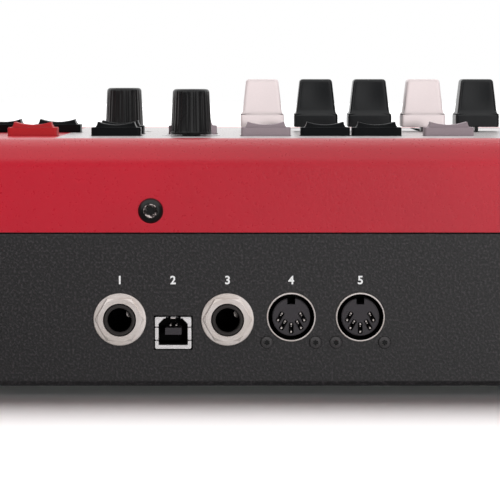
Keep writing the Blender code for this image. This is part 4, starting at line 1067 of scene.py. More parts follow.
def saddle(x, y, z):
    """Narrow the upper part towards its top, and hollow it between its two ends."""
    widest, deepest = BUTTON[0] / 2 - INSET, BUTTON[1] / 2 - INSET
    if z < PLINTH - TOUCH or abs(x) > widest + TOUCH or abs(y) > deepest + TOUCH:
        return x, y, z
    share = (z - PLINTH) / RISE
    place = x / widest
    across = CREST + (FOOT - CREST) * (1 - share) ** 2
    return place * across, y * (1 - 0.08 * share), PLINTH + (RISE - DIP * (1 - place * place)) * share


reshape(cap, saddle)
bevel_edges(cap, lambda edge: abs(edge.verts[0].co.z - edge.verts[1].co.z) > 0.004 and
            abs(edge.verts[0].co.x) > BUTTON[0] / 2 - 1e-5, 0.0008, 4)
soften(cap, 0.0002, 2, 38)
rubbers = {"red": red_rubber, "black": black_rubber, "grey": grey_rubber}
places = {"soft_" + node: (*node_middle(node).xy, DECK) for node in BUTTON_NODES}
for node, made in zip(BUTTON_NODES, spread(cap, places)):
    colour = node.split("_")[1]
    body = node.replace("button_" + colour, colour + "_push")
    dress(made, body, rubbers[colour], colour + "_rubber", node)
print(len(places), "buttons of", len(made.data.polygons), "faces")

# %% [markdown]
# ## The button mat and its lamps
# The program and effect buttons are moulded on one silicone mat under the deck. Each is a small rounded
# block with a dished top. The lamp on the deck behind each button is a clear red dome in a black collar.

# %% The button mat and its lamps
MAT_RISE = 0.0025
WEB_LOW = BOARD_TOP + SWITCH_RISE + GAP
LAMP_BEHIND = 0.0085
LAMP_RADIUS = 0.00125

pad = plate("pad", rounded(*MAT_BUTTON, 0.0012), WEB_LOW + 0.0008 - DECK, MAT_RISE)
choose(pad, "FACE", upper)
bpy.ops.mesh.inset(thickness=0.0006)
bpy.ops.mesh.inset(thickness=0.0011, depth=-0.0002)
leave()
bevel_edges(pad, lambda edge: lies(edge, "z", MAT_RISE) and
            max(abs(middle(edge).x) / MAT_BUTTON[0], abs(middle(edge).y) / MAT_BUTTON[1]) > 0.47, 0.0004, 3)
pads = spread(pad, {"pad_" + str(index): (x, MAT_Y, DECK) for index,
    x in enumerate(PROGRAM_X + EFFECT_X)})
mat_low, mat_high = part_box("button_mat")
web = plate("web", rounded(mat_high.x - mat_low.x, mat_high.y - mat_low.y, 0.002,
    node_middle("button_mat").xy), WEB_LOW, WEB_LOW + 0.0015)
mat = united("silicone_mat", *pads, soften(web, 0.0002))
dress(mat, "mat_push", grey_rubber, "grey_rubber", "button_mat", angle=45)

lamp_red, sheet = material("lamp_red", (0.3, 0.006, 0.004), 0.15, Coat_Weight=0.5)
glow = sheet.step(sheet.noise(300), 0.35, 0.7)
sheet.colour(glow, (0.22, 0.004, 0.003), (0.42, 0.012, 0.008))
dome = lathe("lamp", [(0, -0.002), (LAMP_RADIUS, -0.002),
    (LAMP_RADIUS, 0.0001)] + arc((0, 0.0001 - LAMP_RADIUS), LAMP_RADIUS * 1.4142, 45, 90, 4), steps=20)
collar = lathe("collar", [(LAMP_RADIUS, -0.001), (LAMP_RADIUS + 0.0005, -0.001),
    (LAMP_RADIUS + 0.0005, 0.0002), (LAMP_RADIUS + 0.0002, 0.0004), (LAMP_RADIUS, 0.0003)], steps=20)
spots = {str(index): (x, MAT_Y + LAMP_BEHIND, DECK) for index, x in enumerate(PROGRAM_X + EFFECT_X)}
domes = united("lamps", *spread(dome, {"lamp_" + key: place for key, place in spots.items()}))
collars = united("lamp_collars", *spread(collar,
    {"collar_" + key: place for key, place in spots.items()}))
dress(domes, "case", lamp_red, "display_window")
dress(collars, "case", black_plastic, "black_plastic")
print(len(spots), "lamps on the deck")

# %% [markdown]
# ## The display
# A black frame holds a dark window, on which plain seven-bar numbers glow. The frame is a rounded plate
# whose top is inset and pushed down, so a rim stays. Each bar is a lozenge that gives its own light.

# %% The display
BEZEL, PANE = (0.084, 0.034), (0.077, 0.027)
PANE_DEPTH = 0.0006
place = node_middle("display")
half = Vector(WINDOW_REACH)
rim_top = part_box("display")[1].z - DECK
bezel = plate("bezel", rounded(*BEZEL, 0.0016), GAP, rim_top)
choose(bezel, "FACE", upper)
bpy.ops.mesh.inset(thickness=0.003)
extrude((0, 0, -PANE_DEPTH))
leave()
soften(bezel, 0.0003, 3, 50)
body = block("body", (-half.x, -half.y, BOARD_TOP + GAP - DECK), (half.x, half.y, GAP))
bezel = united("display_bezel", bezel, body)
bezel.data.transform(Matrix.Translation((*place.xy, DECK)))
dress(bezel, "case", black_plastic, "display_window", "display", angle=45)

WINDOW_LEVEL = DECK + rim_top - PANE_DEPTH
pane = plate("display_pane", rounded(*PANE, 0.0008, place.xy), WINDOW_LEVEL, WINDOW_LEVEL + 0.00025)
glass, sheet = material("display_glass", (0.006, 0.008, 0.01), 0.09, Coat_Weight=0.4)
streak = sheet.noise(40, 3.0)
sheet.rough(sheet.step(streak, 0.4, 0.8) * 0.1 + 0.05)
sheet.colour(streak, (0.004, 0.006, 0.008), (0.01, 0.012, 0.014))
dress(soften(pane, 0.0001, 1), "case", glass, "display_window")

BAR_LONG, BAR_WIDE = 0.0052, 0.0011
DIGITS_LEFT, DIGIT_PITCH = 0.015, 0.0095
DIGIT_BARS = {"0": "abcdef", "1": "bc", "2": "abged", "3": "abgcd", "7": "abc"}
BAR_PLACES = {"a": (0, 1, 0), "b": (0.5, 0.5, 1), "c": (0.5, -0.5, 1), "d": (0, -1, 0),
    "e": (-0.5, -0.5, 1), "f": (-0.5, 0.5, 1), "g": (0, 0, 0)}
bars = []
for column, digit in enumerate("1203"):
    for letter in DIGIT_BARS[digit]:
        across, up, upright = BAR_PLACES[letter]
        long, wide = BAR_LONG * 0.44, BAR_WIDE / 2
        lozenge = [(-long, 0), (-long + wide, -wide), (long - wide, -wide), (long, 0),
            (long - wide, wide), (-long + wide, wide)]
        if upright:
            lozenge = [(-second, first) for first, second in lozenge]
        shift = (place.x - DIGITS_LEFT + column * DIGIT_PITCH + across * BAR_LONG, place.y + up * BAR_LONG)
        lozenge = [(first + shift[0], second + shift[1]) for first, second in lozenge]
        bars.append(plate("bar", lozenge, WINDOW_LEVEL + 0.0002, WINDOW_LEVEL + 0.00032))
digits = united("display_digits", *bars)
glow_amber, sheet = material("glow_amber", (0.3, 0.05, 0.01), 0.5, Emission_Strength=1.0)
patch = sheet.step(sheet.noise(500), 0.3, 0.7)
sheet.feed(sheet.shader.inputs["Emission Color"],
    sheet.blend(patch, (0.85, 0.16, 0.03), (1.0, 0.24, 0.05)))
dress(digits, "case", glow_amber, "display_window")
print(len(bars), "bars lit")

# %% [markdown]
# ## Large jacks
# A large jack passes its threaded bush through the wall, and a nickel washer and a six-sided nut clamp it.
# The washer and the bush are lathe work. The nut is a six-sided plate, and a cone takes its corners off, as
# the real turning tool does. Deep in the bore a bent contact spring catches some light.

# %% Large jacks
WASHER_RADIUS, WASHER_TOP = 0.0081, WALL + 0.0012
NUT_FLATS, NUT_TOP = 0.013, WALL + 0.0026
BORE, BORE_END = 0.00365, WALL + 0.003 - 0.024
JACK_FACE = WALL + 0.003
MAIN_BOARD_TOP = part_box("main_board")[1].z

ring = lathe("washer", [(JACK_RADIUS, WALL + GAP), (WASHER_RADIUS, WALL + GAP),
    (WASHER_RADIUS, WASHER_TOP - 0.0003), (WASHER_RADIUS - 0.00015, WASHER_TOP - 0.0001),
    (WASHER_RADIUS - 0.0005, WASHER_TOP), (JACK_RADIUS, WASHER_TOP)], axis="Y", steps=72)
corner = NUT_FLATS / math.sqrt(3)
nut = plate("nut", [(corner * math.cos(math.radians(60 * k)),
    corner * math.sin(math.radians(60 * k))) for k in range(6)], WASHER_TOP - 0.0001, NUT_TOP, "Y")
cone = lathe("cone", [(0, WASHER_TOP - 0.001), (corner * 1.25, WASHER_TOP - 0.001),
    (corner * 1.25, NUT_TOP - 0.0013), (0.0066, NUT_TOP), (0.0064, NUT_TOP + 0.001),
    (0, NUT_TOP + 0.001)], axis="Y", steps=96)
carve(nut, cone, operation="INTERSECT")
carve(nut, drum("hole", JACK_RADIUS, WALL, JACK_FACE, axis="Y", sides=72))
soften(nut, 0.00018, 2, 25)
half_body = JACK_Z - MAIN_BOARD_TOP - GAP
case_back = block("case_back", (-0.0072, WALL - 0.027, -half_body), (0.0072, inner - GAP, half_body))
clamp = united("clamp", ring, nut)
thread, brim = JACK_RADIUS - 0.0001, JACK_RADIUS - 0.00035
bush = lathe("bush", [(0, BORE_END - 0.0015), (thread, BORE_END - 0.0015), (thread, NUT_TOP - 0.0008),
    (brim, NUT_TOP - 0.001), (brim, JACK_FACE - 0.0003), (brim - 0.0002, JACK_FACE - 0.0001),
    (BORE + 0.0005, JACK_FACE), (BORE + 0.0002, JACK_FACE - 0.0002), (BORE, JACK_FACE - 0.0006),
    (BORE, BORE_END), (0, BORE_END)], axis="Y", steps=64)
case_back = carve(soften(case_back, 0.0004),
    drum("hole", JACK_RADIUS - 0.0003, WALL - 0.03, WALL, axis="Y"))
bush = united("bush", bush, case_back)
leaf = [(-0.0034, 0.0004), (-0.0031, 0.0016), (-0.0024, 0.0025), (-0.0019, 0.0022), (-0.002, 0.001),
    (-0.0025, 0.0004)]
spring = plate("spring", leaf, WALL - 0.0055, WALL - 0.001, "Y")
reshape(spring, lambda x, y, z: (x, y + (x + 0.0019) * 0.8, z))
soften(spring, 0.0002)

nickel, sheet = material("nickel", (0.86, 0.77, 0.73), 0.4, Metallic=0.55)
turning, smear = sheet.noise(900, 2.0, (1, 3, 1)), sheet.noise(160, 3.0)
tone = sheet.step(smear, 0.35, 0.7)
sheet.colour(tone, (0.86, 0.77, 0.72), (0.97, 0.89, 0.86))
sheet.rough(turning * 0.08 + smear * 0.1 + 0.28)
sheet.dent(turning, 0.000008)

bush_black, sheet = material("bush_black", (0.022, 0.02, 0.02), 0.45, Specular_IOR_Level=0.05)
# Painted shade: everything behind the front face, down the bore, is painted near-black. The front face
# keeps the bush's own dark grey.
y = sheet.place()[1]
face = sheet.step(y + sheet.noise(2000) * 0.0002, JACK_FACE - 0.0012, JACK_FACE - 0.0003)
sheet.colour(face, (0.0008, 0.0008, 0.0009), (0.042, 0.038, 0.037))
sheet.rough(sheet.noise(900) * 0.1 + 0.4)

JACKS = {node: [node_middle(node).x] for node in JACK_NODES}
JACKS["line_output_pair"] = [line_middle.x - LINE_PITCH / 2, line_middle.x + LINE_PITCH / 2]
for node, columns in JACKS.items():
    for part, shape, finish, slot in (("clamp", clamp, nickel, "nickel"),
            ("bush", bush, bush_black, "black_plastic"), ("spring", spring, nickel, "nickel")):
        twins = [copied(shape, part, (x, 0, JACK_Z)) for x in columns]
        made = united(part + "_" + node, *twins)
        stands_for = [node] if part == "clamp" else []
        dress(made, "case", finish, slot, *stands_for, angle=35)
discard(clamp, bush, spring)
print(sum(len(columns) for columns in JACKS.values()), "jacks")

# %% [markdown]
# ## Five-pin sockets
# Inside a bright steel ring lies a dark disc with a keyway at its top and five contact slots on an arc
# below. The disc is a drum from which turned blocks cut the slots. In each slot stand the bright leaves
# of a spring contact, which are three small rounded pins.

# %% Five-pin sockets
RING_INSIDE, DISC_RADIUS = 0.00712, 0.00585
ROUND_FACE = WALL + 0.0008
DISC_FACE = ROUND_FACE - 0.0006
SLOT_CIRCLE, SLOT_SIZE = 0.00345, (0.0015, 0.0035)
SLOT_LEAN = 30
SLOT_ANGLES = {180: -1, 225: -1, 270: 0, 315: 1, 360: 1}

ring = lathe("ring", [(RING_INSIDE, WALL - 0.006), (ROUND_RADIUS, WALL - 0.006),
    (ROUND_RADIUS, ROUND_FACE - 0.0002), (ROUND_RADIUS - 0.0002, ROUND_FACE),
    (RING_INSIDE + 0.0001, ROUND_FACE), (RING_INSIDE, ROUND_FACE - 0.0001)], axis="Y", steps=96)
half_body = ROUND_Z - MAIN_BOARD_TOP - GAP
back = soften(block("back", (-0.01, WALL - 0.018, -half_body), (0.01, inner - GAP, half_body)), 0.0005)
carve(back, drum("well", RING_INSIDE - 0.0001, WALL - 0.006, WALL, axis="Y", sides=96))
liner = lathe("liner", [(RING_INSIDE - 0.00015, WALL - 0.0058), (RING_INSIDE + 0.0001, WALL - 0.0058),
    (RING_INSIDE + 0.0001, ROUND_FACE - 0.0004), (RING_INSIDE - 0.00015, ROUND_FACE - 0.0004)], axis="Y",
    steps=96)
disc = lathe("disc", [(0, WALL - 0.007), (DISC_RADIUS, WALL - 0.007), (DISC_RADIUS, DISC_FACE - 0.0003),
    (DISC_RADIUS - 0.0003, DISC_FACE), (0, DISC_FACE)], axis="Y", steps=96)
cutters = [block("keyway", (-0.00122, WALL - 0.008, 0.0039), (0.00122, DISC_FACE + 0.001, 0.007))]
pins = []
for angle, lean in SLOT_ANGLES.items():
    turn = math.radians(angle)
    centre = Matrix.Translation((-math.cos(turn) * SLOT_CIRCLE, 0, math.sin(turn) * SLOT_CIRCLE))
    slant = Matrix.Rotation(math.radians(SLOT_LEAN * lean), 4, "Y")
    slot = block("slot", (-SLOT_SIZE[0] / 2, DISC_FACE - 0.005, -SLOT_SIZE[1] / 2),
        (SLOT_SIZE[0] / 2, DISC_FACE + 0.001, SLOT_SIZE[1] / 2))
    bevel_edges(slot, lambda edge: abs(edge.verts[0].co.y - edge.verts[1].co.y) > 0.001, 0.0004, 3)
    slot.data.transform(centre @ slant)
    cutters.append(slot)
    for rise, radius, sink in ((0.0012, 0.00028, 0.0003), (0.0005, 0.00018, 0.0007),
            (-0.0012, 0.0003, 0.0003)):
        pin = lathe("pin", [(0, DISC_FACE - 0.006), (radius, DISC_FACE - 0.006),
            (radius, DISC_FACE - sink - 0.0001), (radius * 0.6, DISC_FACE - sink), (0, DISC_FACE - sink)],
            (0, 0, rise), "Y", 12)
        pin.data.transform(centre @ slant)
        pins.append(pin)
carve(disc, united("cutters", *cutters))
soften(disc, 0.00005, 1, 50)
back, leaves = united("back", back, liner), united("leaves", *pins)
# The socket backs and the well liners carry painted shade: they are near-black to stand in for the shade
# deep in each well.
for node in ROUND_NODES:
    shift = (node_middle(node).x, 0, ROUND_Z)
    dress(copied(ring, "ring_" + node, shift), "case", nickel, "nickel", node)
    dress(copied(disc, "disc_" + node, shift), "case", dark_insert, "black_plastic")
    dress(copied(back, "back_" + node, shift), "case", socket_black, "black_plastic")
    dress(copied(leaves, "leaves_" + node, shift), "case", nickel, "nickel")
discard(ring, disc, back, leaves)
print(len(ROUND_NODES), "round sockets with", len(SLOT_ANGLES), "slots each")

# %% [markdown]
# ## The square data socket
# A pressed steel shell frames an opening whose upper corners are cut at 45 degrees, and a dark tongue with
# four contacts stands in it. The shell is a rounded plate, cut by a second plate of that outline. Small
# slots at the sides and the top are where the shell's springs are stamped out.

# %% The square data socket
DATA_FACE = WALL + 0.0006
DATA_SHELL, DATA_CAVITY, DATA_CORNER = (0.0112, 0.0099), (0.009, 0.0083), 0.0017
CAVITY_UP = 0.00038
data_x = node_middle("square_data_socket").x


def cavity_outline(grow):
    """The opening's outline, larger all round by grow."""
    wide, high = DATA_CAVITY[0] / 2 + grow, DATA_CAVITY[1] / 2 + grow
    points = [(-wide, -high), (wide, -high), (wide, high - DATA_CORNER), (wide - DATA_CORNER, high)]
    points += [(-wide + DATA_CORNER, high), (-wide, high - DATA_CORNER)]
    return [(data_x + x, DATA_Z + CAVITY_UP + z) for x, z in points]


shell = plate("data_shell", rounded(*DATA_SHELL, 0.0005, (data_x, DATA_Z), 3), WALL - 0.01, DATA_FACE,
    "Y")
cutters = [plate("opening", cavity_outline(0), WALL - 0.009, DATA_FACE + 0.001, "Y")]
for side in (-1, 1):
    for level in (0.00175, -0.0023):
        x, z = data_x + side * 0.0052, DATA_Z + level
        low = (x - 0.001, DATA_FACE - 0.003, z - 0.00018)
        cutters.append(block("slot", low, (x + 0.001, DATA_FACE + 0.001, z + 0.00018)))
    ends = sorted((data_x + side * 0.00075, data_x + side * 0.0023))
    low = (ends[0], DATA_FACE - 0.003, DATA_Z + DATA_SHELL[1] / 2 - 0.0008)
    cutters.append(block("slot", low, (ends[1], DATA_FACE + 0.001, DATA_Z + DATA_SHELL[1] / 2 + 0.001)))
carve(shell, *cutters)
soften(shell, 0.00012, 2, 50)
shell_steel, sheet = material("shell_steel", (0.93, 0.9, 0.9), 0.35, Metallic=0.4)
smear = sheet.noise(400, 3.0)
sheet.colour(smear, (0.86, 0.83, 0.83), (0.98, 0.95, 0.96))
sheet.rough(smear * 0.15 + 0.25)
dress(shell, "case", shell_steel, "nickel", "square_data_socket")
liner = plate("data_liner", cavity_outline(-0.00005), WALL - 0.0085, DATA_FACE - 0.0009, "Y")
carve(liner, plate("opening", cavity_outline(-0.0004), WALL - 0.0078, DATA_FACE + 0.001, "Y"))
tongue_z = DATA_Z + CAVITY_UP
tongue = block("data_tongue", (data_x - 0.00255, WALL - 0.008, tongue_z - 0.0011),
    (data_x + 0.00255, DATA_FACE - 0.001, tongue_z + 0.0011))
half_body = DATA_Z - MAIN_BOARD_TOP - GAP
back = soften(block("back", (data_x - 0.0066, WALL - 0.016, DATA_Z - half_body),
    (data_x + 0.0066, inner - GAP, DATA_Z + half_body)), 0.0004)
carve(back, block("well", (data_x - 0.0055, WALL - 0.0098, DATA_Z - 0.0047),
    (data_x + 0.0055, WALL, DATA_Z + 0.0047)))
# The opening's liner and back carry painted shade: they are near-black to stand in for the shade deep in
# the socket.
dress(united("data_core", liner, back), "case", socket_black, "black_plastic")
dress(soften(tongue, 0.0002), "case", dark_insert, "black_plastic")
contacts = []
for x in (-0.0009, 0.0009):
    for z, front in ((0.0017, 0.0026), (-0.0012, 0.004)):
        low = (data_x + x - 0.00025, WALL - 0.0078, tongue_z + z - 0.00015)
        high = (low[0] + 0.0005, DATA_FACE - front, low[2] + 0.0003)
        contacts.append(soften(block("contact", low, high), 0.00008))
lug = block("lug", (data_x - 0.0007, DATA_FACE - 0.0016, DATA_Z + 0.0044),
    (data_x + 0.0007, DATA_FACE, DATA_Z + 0.0049))
dress(united("data_contacts", *contacts, soften(lug, 0.0001)), "case", nickel, "nickel")
print("data socket at x", round(data_x, 4))

# %% [markdown]
# ## Mains inlet, rocker and feet
# The inlet is a black moulding with a deep well and three flat pins. The rocker is a shallow V on a hub, so
# its side view is a plate across X, tilted to its resting place, inside a thin frame. The feet are turned
# from rubber, with a groove and a recess for their screw.

# %% Mains inlet, rocker and feet
inlet_x, rocker_x = node_middle("mains_inlet").x, node_middle("power_rocker").x
INLET_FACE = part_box("mains_inlet")[1].y
INLET_FLANGE, INLET_WELL = (0.031, 0.024), (0.0245, 0.0168)
ROCKER_FRAME, ROCKER_GAP = (0.0172, 0.0232), (0.014, 0.02)

inlet = plate("inlet", rounded(*INLET_FLANGE, 0.003, (inlet_x, MAINS_Z)), WALL + GAP, INLET_FACE, "Y")
bevel_edges(inlet, lambda edge: lies(edge, "y", INLET_FACE), 0.0008, 4)
body = plate("body", rounded(*WALL_HOLES["mains_inlet"][:2], 0.002, (inlet_x, MAINS_Z)), WALL - 0.019,
    WALL + 0.0006, "Y")
carve(inlet, body, operation="UNION")
well = plate("well", rounded(*INLET_WELL, 0.0028, (inlet_x, MAINS_Z)), INLET_FACE - 0.015,
    INLET_FACE + 0.001, "Y")
carve(inlet, well)
soften(inlet, 0.0003, 2, 60)
dress(inlet, "case", black_plastic, "black_plastic", "mains_inlet")
pins = []
for step, rise in ((-1, 0.0), (0, 0.002), (1, 0.0)):
    x, z = inlet_x + step * 0.007, MAINS_Z + rise
    pin = block("pin", (x - 0.001, INLET_FACE - 0.0155, z - 0.002),
        (x + 0.001, INLET_FACE - 0.0015, z + 0.002))
    pins.append(soften(pin, 0.0004, 3))
dress(united("inlet_pins", *pins), "case", nickel, "nickel")

TILT, PIVOT_BACK = math.radians(7), 0.002
half, ridge = ROCKER[1] / 2, PIVOT_BACK + GAP
end = ridge + half * math.sin(TILT)
outline = [(ridge, 0), (end, half), (-PIVOT_BACK, half)]
outline += arc((0, 0), 0.007, 120, 240, 10)
outline += [(-PIVOT_BACK, -half), (end, -half)]
rocker = plate("rocker", outline, rocker_x - ROCKER[0] / 2, rocker_x + ROCKER[0] / 2, "X")
soften(rocker, 0.0005, 3, 30)
seat = Matrix.Translation((0, WALL - PIVOT_BACK, MAINS_Z)) @ Matrix.Rotation(TILT, 4, "X")
rocker.data.transform(seat)
dress(rocker, "mains_rocker", black_plastic, "black_plastic", "power_rocker", angle=30)
frame_ring = plate("rocker_frame", rounded(*ROCKER_FRAME, 0.0015, (rocker_x, MAINS_Z)), WALL + 0.0001,
    WALL + 0.0012, "Y")
gap = plate("gap", rounded(*ROCKER_GAP, 0.0006, (rocker_x, MAINS_Z)), WALL - 0.001, WALL + 0.003, "Y")
carve(frame_ring, gap)
dress(soften(frame_ring, 0.0003, 3, 50), "case", black_plastic, "black_plastic")

foot_low, foot_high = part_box("foot_front_left")
FOOT_TOP, FOOT_RADIUS = foot_high.z, (foot_high.x - foot_low.x) / 2
foot = lathe("foot", [(0, 0.0008), (0.0035, 0.0008), (0.0037, 0.0001), (0.004, 0),
    (FOOT_RADIUS - 0.0006, 0), (FOOT_RADIUS, 0.0006), (FOOT_RADIUS, 0.0012),
    (FOOT_RADIUS - 0.0003, 0.0014), (FOOT_RADIUS, 0.0016), (FOOT_RADIUS, FOOT_TOP), (0, FOOT_TOP)],
    steps=64)
FEET = [name for name in names if name.startswith("foot_")]
places = {"rubber_" + node: (*node_middle(node).xy, 0) for node in FEET}
for node, made in zip(FEET, spread(foot, places)):
    dress(made, "case", foot_rubber, "foot_rubber", node)
print("feet", len(places), "rocker at", round(rocker_x, 4))

# %% [markdown]
# ## Screws
# One row of black domed screws holds the cover's rear drop, and four small ones hold the round sockets. A
# screw head is a lathe dome, and its drive is a six-lobed recess whose cutter is a circle with a radius
# that rises and falls six times. The big ones have a worn, brighter cup round it. The underside has three
# rows of small ones too.

# %% Screws
HEAD_RADIUS, HEAD_RISE = 0.0039, 0.0021
COVER_SCREW_Z = 0.057
COVER_SCREWS_X = (-0.3745, -0.1745, 0.0255, 0.2255, 0.4095)
BASE_SCREWS = [(x, y) for x in (-0.4, -0.2, 0.0, 0.2, 0.4) for y in (FRONT + 0.01, -0.02, WALL - 0.012)]
SMALL_RADIUS, SMALL_RISE = 0.002, 0.001
SMALL_SCREW_OFF, SMALL_SCREW_Z = 0.0075, 0.0163
CUP, STAR = 0.0023, 0.0015


def star(radius, low, high):
    """The cutter of a six-lobed recess."""
    lobes = []
    for step in range(72):
        turn = math.tau * step / 72
        reach = radius * (0.86 + 0.14 * math.cos(6 * turn))
        lobes.append((reach * math.sin(turn), reach * math.cos(turn)))
    return plate("star", lobes, low, high, "Y")


def screw(name, radius, rise, cup, drive):
    """A domed head whose middle sinks in a cup, with a star recess."""
    profile = [(0, -0.0006), (radius - 0.0002, -0.0006), (radius, -0.0002), (radius, 0.0001)]
    turn = 0.25
    while radius * math.cos(turn) > cup + 0.0002:
        profile.append((radius * math.cos(turn), 0.0001 + rise * math.sin(turn)))
        turn += 0.2
    brim = profile[-1][1]
    profile += [(cup, brim + 0.00004), (cup - 0.0001, brim - 0.0001), (drive, brim - cup / 6),
        (0, brim - cup / 6)]
    return soften(carve(lathe(name, profile, axis="Y", steps=72), star(drive, 0.0003, 0.004)), 0.00006, 2,
        50)


head = screw("screw_head", HEAD_RADIUS, HEAD_RISE, CUP, STAR)
small = screw("small_screw", SMALL_RADIUS, SMALL_RISE, 0.0009, 0.00085)
rim = lathe("screw_rim", [(STAR - 0.0002, 0.0011), (CUP - 0.0003, 0.0011), (CUP - 0.0001, 0.0017),
    (CUP - 0.0003, 0.0018), (STAR, 0.0014), (STAR - 0.0002, 0.0013)], axis="Y", steps=72)
soften(carve(rim, star(STAR, 0.0, 0.004)), 0.00006, 2, 50)
screw_black = grained("screw_black", (0.0045, 0.004, 0.004), 0.3, 0.0003, 0.25, 0.00002, level=0.5)
screw_dull, sheet = material("screw_dull", (0.04, 0.037, 0.038), 0.4)
y = sheet.place()[1]
grain = sheet.noise(2500)
# Painted shade: the head is painted near-black where it meets the wall, as a dark line round its foot.
# Above that band it has its own dark grey.
clear_of_painted_shade = sheet.step(y + grain * 0.00004, WALL + 0.00034, WALL + 0.0005)
sheet.colour(clear_of_painted_shade, (0.001, 0.001, 0.001), (0.048, 0.045, 0.046))
sheet.rough(grain * 0.2 + 0.3)
cover_spots = [(x, REAR - 0.00005, COVER_SCREW_Z) for x in COVER_SCREWS_X]
cover_screws = [copied(head, "cover_screw", spot) for spot in cover_spots]
dress(united("cover_screws", *cover_screws), "case", screw_black, "black_plastic")
rim_steel, sheet = material("rim_steel", (0.1, 0.09, 0.09), 0.35, Metallic=1.0)
scratches = sheet.noise(1500, 3.0)
worn = sheet.step(scratches, 0.46, 0.62)
sheet.colour(worn, (0.06, 0.05, 0.05), (0.75, 0.64, 0.62))
sheet.rough(scratches * 0.2 + 0.28)
rims = [copied(rim, "rim", spot) for spot in cover_spots]
dress(united("cover_screw_rims", *rims), "case", rim_steel, "nickel")
socket_screws = []
for node in ROUND_NODES:
    for side in (-1, 1):
        x = node_middle(node).x + side * SMALL_SCREW_OFF
        socket_screws.append(copied(small, "socket_screw", (x, WALL - 0.00003, SMALL_SCREW_Z)))
dress(united("socket_screws", *socket_screws), "case", screw_dull, "black_plastic")
small.data.transform(Matrix.Rotation(math.radians(-90), 4, "X"))
base_screws = [copied(small, "base_screw", (*spot, UNDERSIDE + 0.00003)) for spot in BASE_SCREWS]
dress(united("base_screws", *base_screws), "case", screw_black, "black_plastic")
discard(head, small, rim)
print(len(COVER_SCREWS_X), "cover screws,", len(socket_screws), "at the sockets,", len(base_screws),
    "below")

# %% [markdown]
# ## Printed marks
# The panel carries plain numbers and lines only. Numbers are text made into a mesh, a few hundredths of a
# millimetre thick, as screen ink is. Scale marks round a knob are one short bar, copied and turned. Ink is
# white on red and black, and dark on the light field.

# %% Printed marks
NUMBER_Z, NUMBER_SIZE = 0.0355, 0.0026
LINE_WIDTH = 0.00035
ROCKER_MARK_OFF = 0.0062
KNOB_SCALE, DIAL_SCALE = (0.0079, 0.0093), (0.0122, 0.0136)
DRAWBAR_NUMBER_Y, PROGRAM_NUMBER_Y = LIP + 0.015, MAT_Y - 0.007
TEXT_SCALE, TEXT_WEIGHT = 1.37, 0.035
PROGRAM_AREA = (-0.074, 0.03), (0.086, 0.127)
EFFECT_AREA, EFFECT_LINES_X = ((0.136, 0.03), (0.345, 0.127)), (0.205, 0.275)
ORGAN_LINE = (-0.364, -0.2025)
to_wall = Matrix(((-1, 0, 0, 0), (0, 0, 1, 0), (0, 1, 0, 0), (0, 0, 0, 1)))
dark_ink = grained("dark_ink", (0.02, 0.02, 0.022), 0.5, 0.0003, 0.1, 0.00001)


def number(text, size, place, turn=Matrix()):
    """A number as a thin mesh, flat on the deck unless it is turned."""
    fresh()
    bpy.ops.object.text_add()
    letters = bpy.context.object.data
    letters.body, letters.size, letters.extrude = text, size * TEXT_SCALE, INK
    letters.align_x, letters.align_y = "CENTER", "CENTER"
    letters.resolution_u, letters.offset = 4, size * TEXT_WEIGHT
    bpy.ops.object.convert(target="MESH")
    piece = bpy.context.object
    choose(piece, "VERT", lambda corner: True)
    bpy.ops.mesh.remove_doubles(threshold=0.000002)
    leave()
    outwards(piece)
    piece.data.transform(Matrix.Translation(place) @ turn)
    return piece


def bar(start, end, width):
    """A thin printed line between two places on the deck."""
    start, end = Vector(start), Vector(end)
    run = end - start
    line = block("line", (0, -width / 2, 0), (run.length, width / 2, INK))
    line.data.transform(Matrix.Translation((*start, DECK)) @ Matrix.Rotation(math.atan2(run.y, run.x), 4,
        "Z"))
    return line


def scale_marks(centre, near, far):
    """Eleven marks round a knob, over the 300 degrees that it turns."""
    marks = []
    for step in range(11):
        turn = math.radians(240 - 30 * step)
        way = Vector((math.cos(turn), math.sin(turn)))
        marks.append(bar(centre.xy + way * near, centre.xy + way * far, LINE_WIDTH))
    return marks


def outline_box(low, high):
    """Four printed lines round an area."""
    corners = [low, (high[0], low[1]), high, (low[0], high[1])]
    return [bar(corners[index], corners[index - 1], LINE_WIDTH) for index in range(4)]


white_marks, dark_marks = [], []
SOCKET_NUMBERS = {"1": "pedal_jack_left", "2": "square_data_socket", "3": "pedal_jack_right",
    "4": "five_pin_socket_out", "5": "five_pin_socket_in"}
for text, node in SOCKET_NUMBERS.items():
    white_marks.append(number(text, NUMBER_SIZE, (node_middle(node).x, WALL + INK, NUMBER_Z), to_wall))
for node in KNOB_NODES:
    marks = dark_marks if "organ" in node else white_marks
    marks.extend(scale_marks(node_middle(node), *KNOB_SCALE))
for index, node in enumerate(DRAWBAR_NODES, 1):
    dark_marks.append(number(str(index), NUMBER_SIZE, (node_middle(node).x, DRAWBAR_NUMBER_Y, DECK + INK)))
white_marks += scale_marks(node_middle("program_dial"), *DIAL_SCALE)
for index, x in enumerate(PROGRAM_X, 1):
    white_marks.append(number(str(index), NUMBER_SIZE, (x, PROGRAM_NUMBER_Y, DECK + INK)))
white_marks += outline_box(*PROGRAM_AREA) + outline_box(*EFFECT_AREA)
low, high = EFFECT_AREA
white_marks += [bar((x, low[1]), (x, high[1]), LINE_WIDTH) for x in EFFECT_LINES_X]
dark_marks.append(bar((ORGAN_LINE[0], LIP + 0.0205), (ORGAN_LINE[1], LIP + 0.0205), 0.0003))
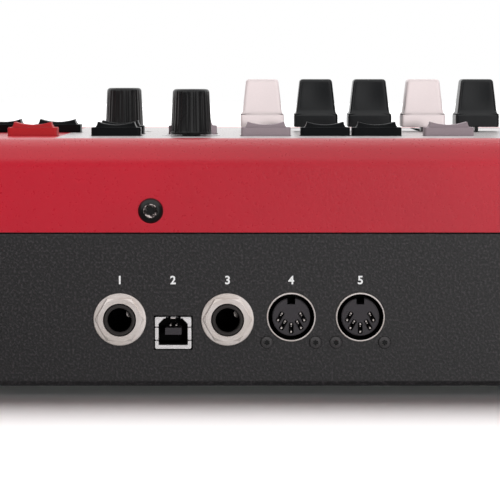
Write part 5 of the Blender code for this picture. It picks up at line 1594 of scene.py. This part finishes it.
for side, text in ((1, "1"), (-1, "0")):
    lift = ridge + abs(ROCKER_MARK_OFF * math.sin(TILT)) + INK / 2
    lean = Matrix.Rotation(-side * math.atan2(half * math.sin(TILT), half), 4, "X")
    seat = Matrix.Translation((rocker_x, WALL - PIVOT_BACK, MAINS_Z)) @ Matrix.Rotation(TILT, 4, "X")
    seat = seat @ Matrix.Translation((0, lift, side * ROCKER_MARK_OFF)) @ lean @ to_wall
    white = number(text, 0.003, (0, 0, 0), seat)
    white.name = "rocker_mark_" + text
    dress(white, "mains_rocker", white_ink, "white_plastic")
dress(united("white_print", *white_marks), "case", white_ink, "white_plastic")
dress(united("dark_print", *dark_marks), "case", dark_ink, "black_plastic")
print(len(white_marks), "white marks and", len(dark_marks), "dark marks")

# %% [markdown]
# ## Inside parts
# The boards, the supply and the key frame keep their CAD meshes and only get finishes: green solder mask
# with a faint pattern of tracks, folded steel, and dark moulded plastic.

# %% Inside parts
board_green, sheet = material("board_green", (0.012, 0.105, 0.045), 0.35, Coat_Weight=0.2)
tracks = sheet.node("TexVoronoi", {"distance": "CHEBYCHEV"}, {"Scale": 120.0})
lines = sheet.step(tracks, 0.3, 0.34) * 0.5
sheet.colour(lines, (0.01, 0.09, 0.038), (0.022, 0.15, 0.06))
sheet.rough(sheet.noise(200) * 0.2 + 0.28)
sheet.dent(lines, 0.00003)
supply_steel, sheet = material("supply_steel", (0.52, 0.52, 0.53), 0.36, Metallic=1.0)
rolled = sheet.noise(300, 3.0, (0.1, 1, 1))
sheet.colour(rolled, (0.44, 0.44, 0.45), (0.6, 0.6, 0.61))
sheet.rough(rolled * 0.3 + 0.2)
sheet.dent(rolled, 0.00002)
frame_plastic = grained("frame_plastic", (0.02, 0.02, 0.021), 0.55, 0.0008, 0.15)
KEPT = {"panel_board": board_green, "main_board": board_green, "power_supply": supply_steel,
    "key_frame": frame_plastic}
for node, finish in KEPT.items():
    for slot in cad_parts[node].material_slots:
        slot.material = finish

POST_RADIUS, POST_SHARES = 0.003, (-0.86, -0.3, 0.3, 0.86)
post = drum("post", POST_RADIUS, BOARD_TOP + GAP, DECK - SHEET - 0.00005, sides=20)
places = {}
for share in POST_SHARES:
    for y in (LIP + 0.011, WALL - 0.011):
        places["post_" + str(len(places))] = (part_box("cheek_right")[1].x * share, y, 0)
dress(united("cover_posts", *spread(post, places)), "case", supply_steel, "red_paint")
print(len(KEPT), "CAD nodes keep their shape,", len(places), "posts under the deck")

fresh()
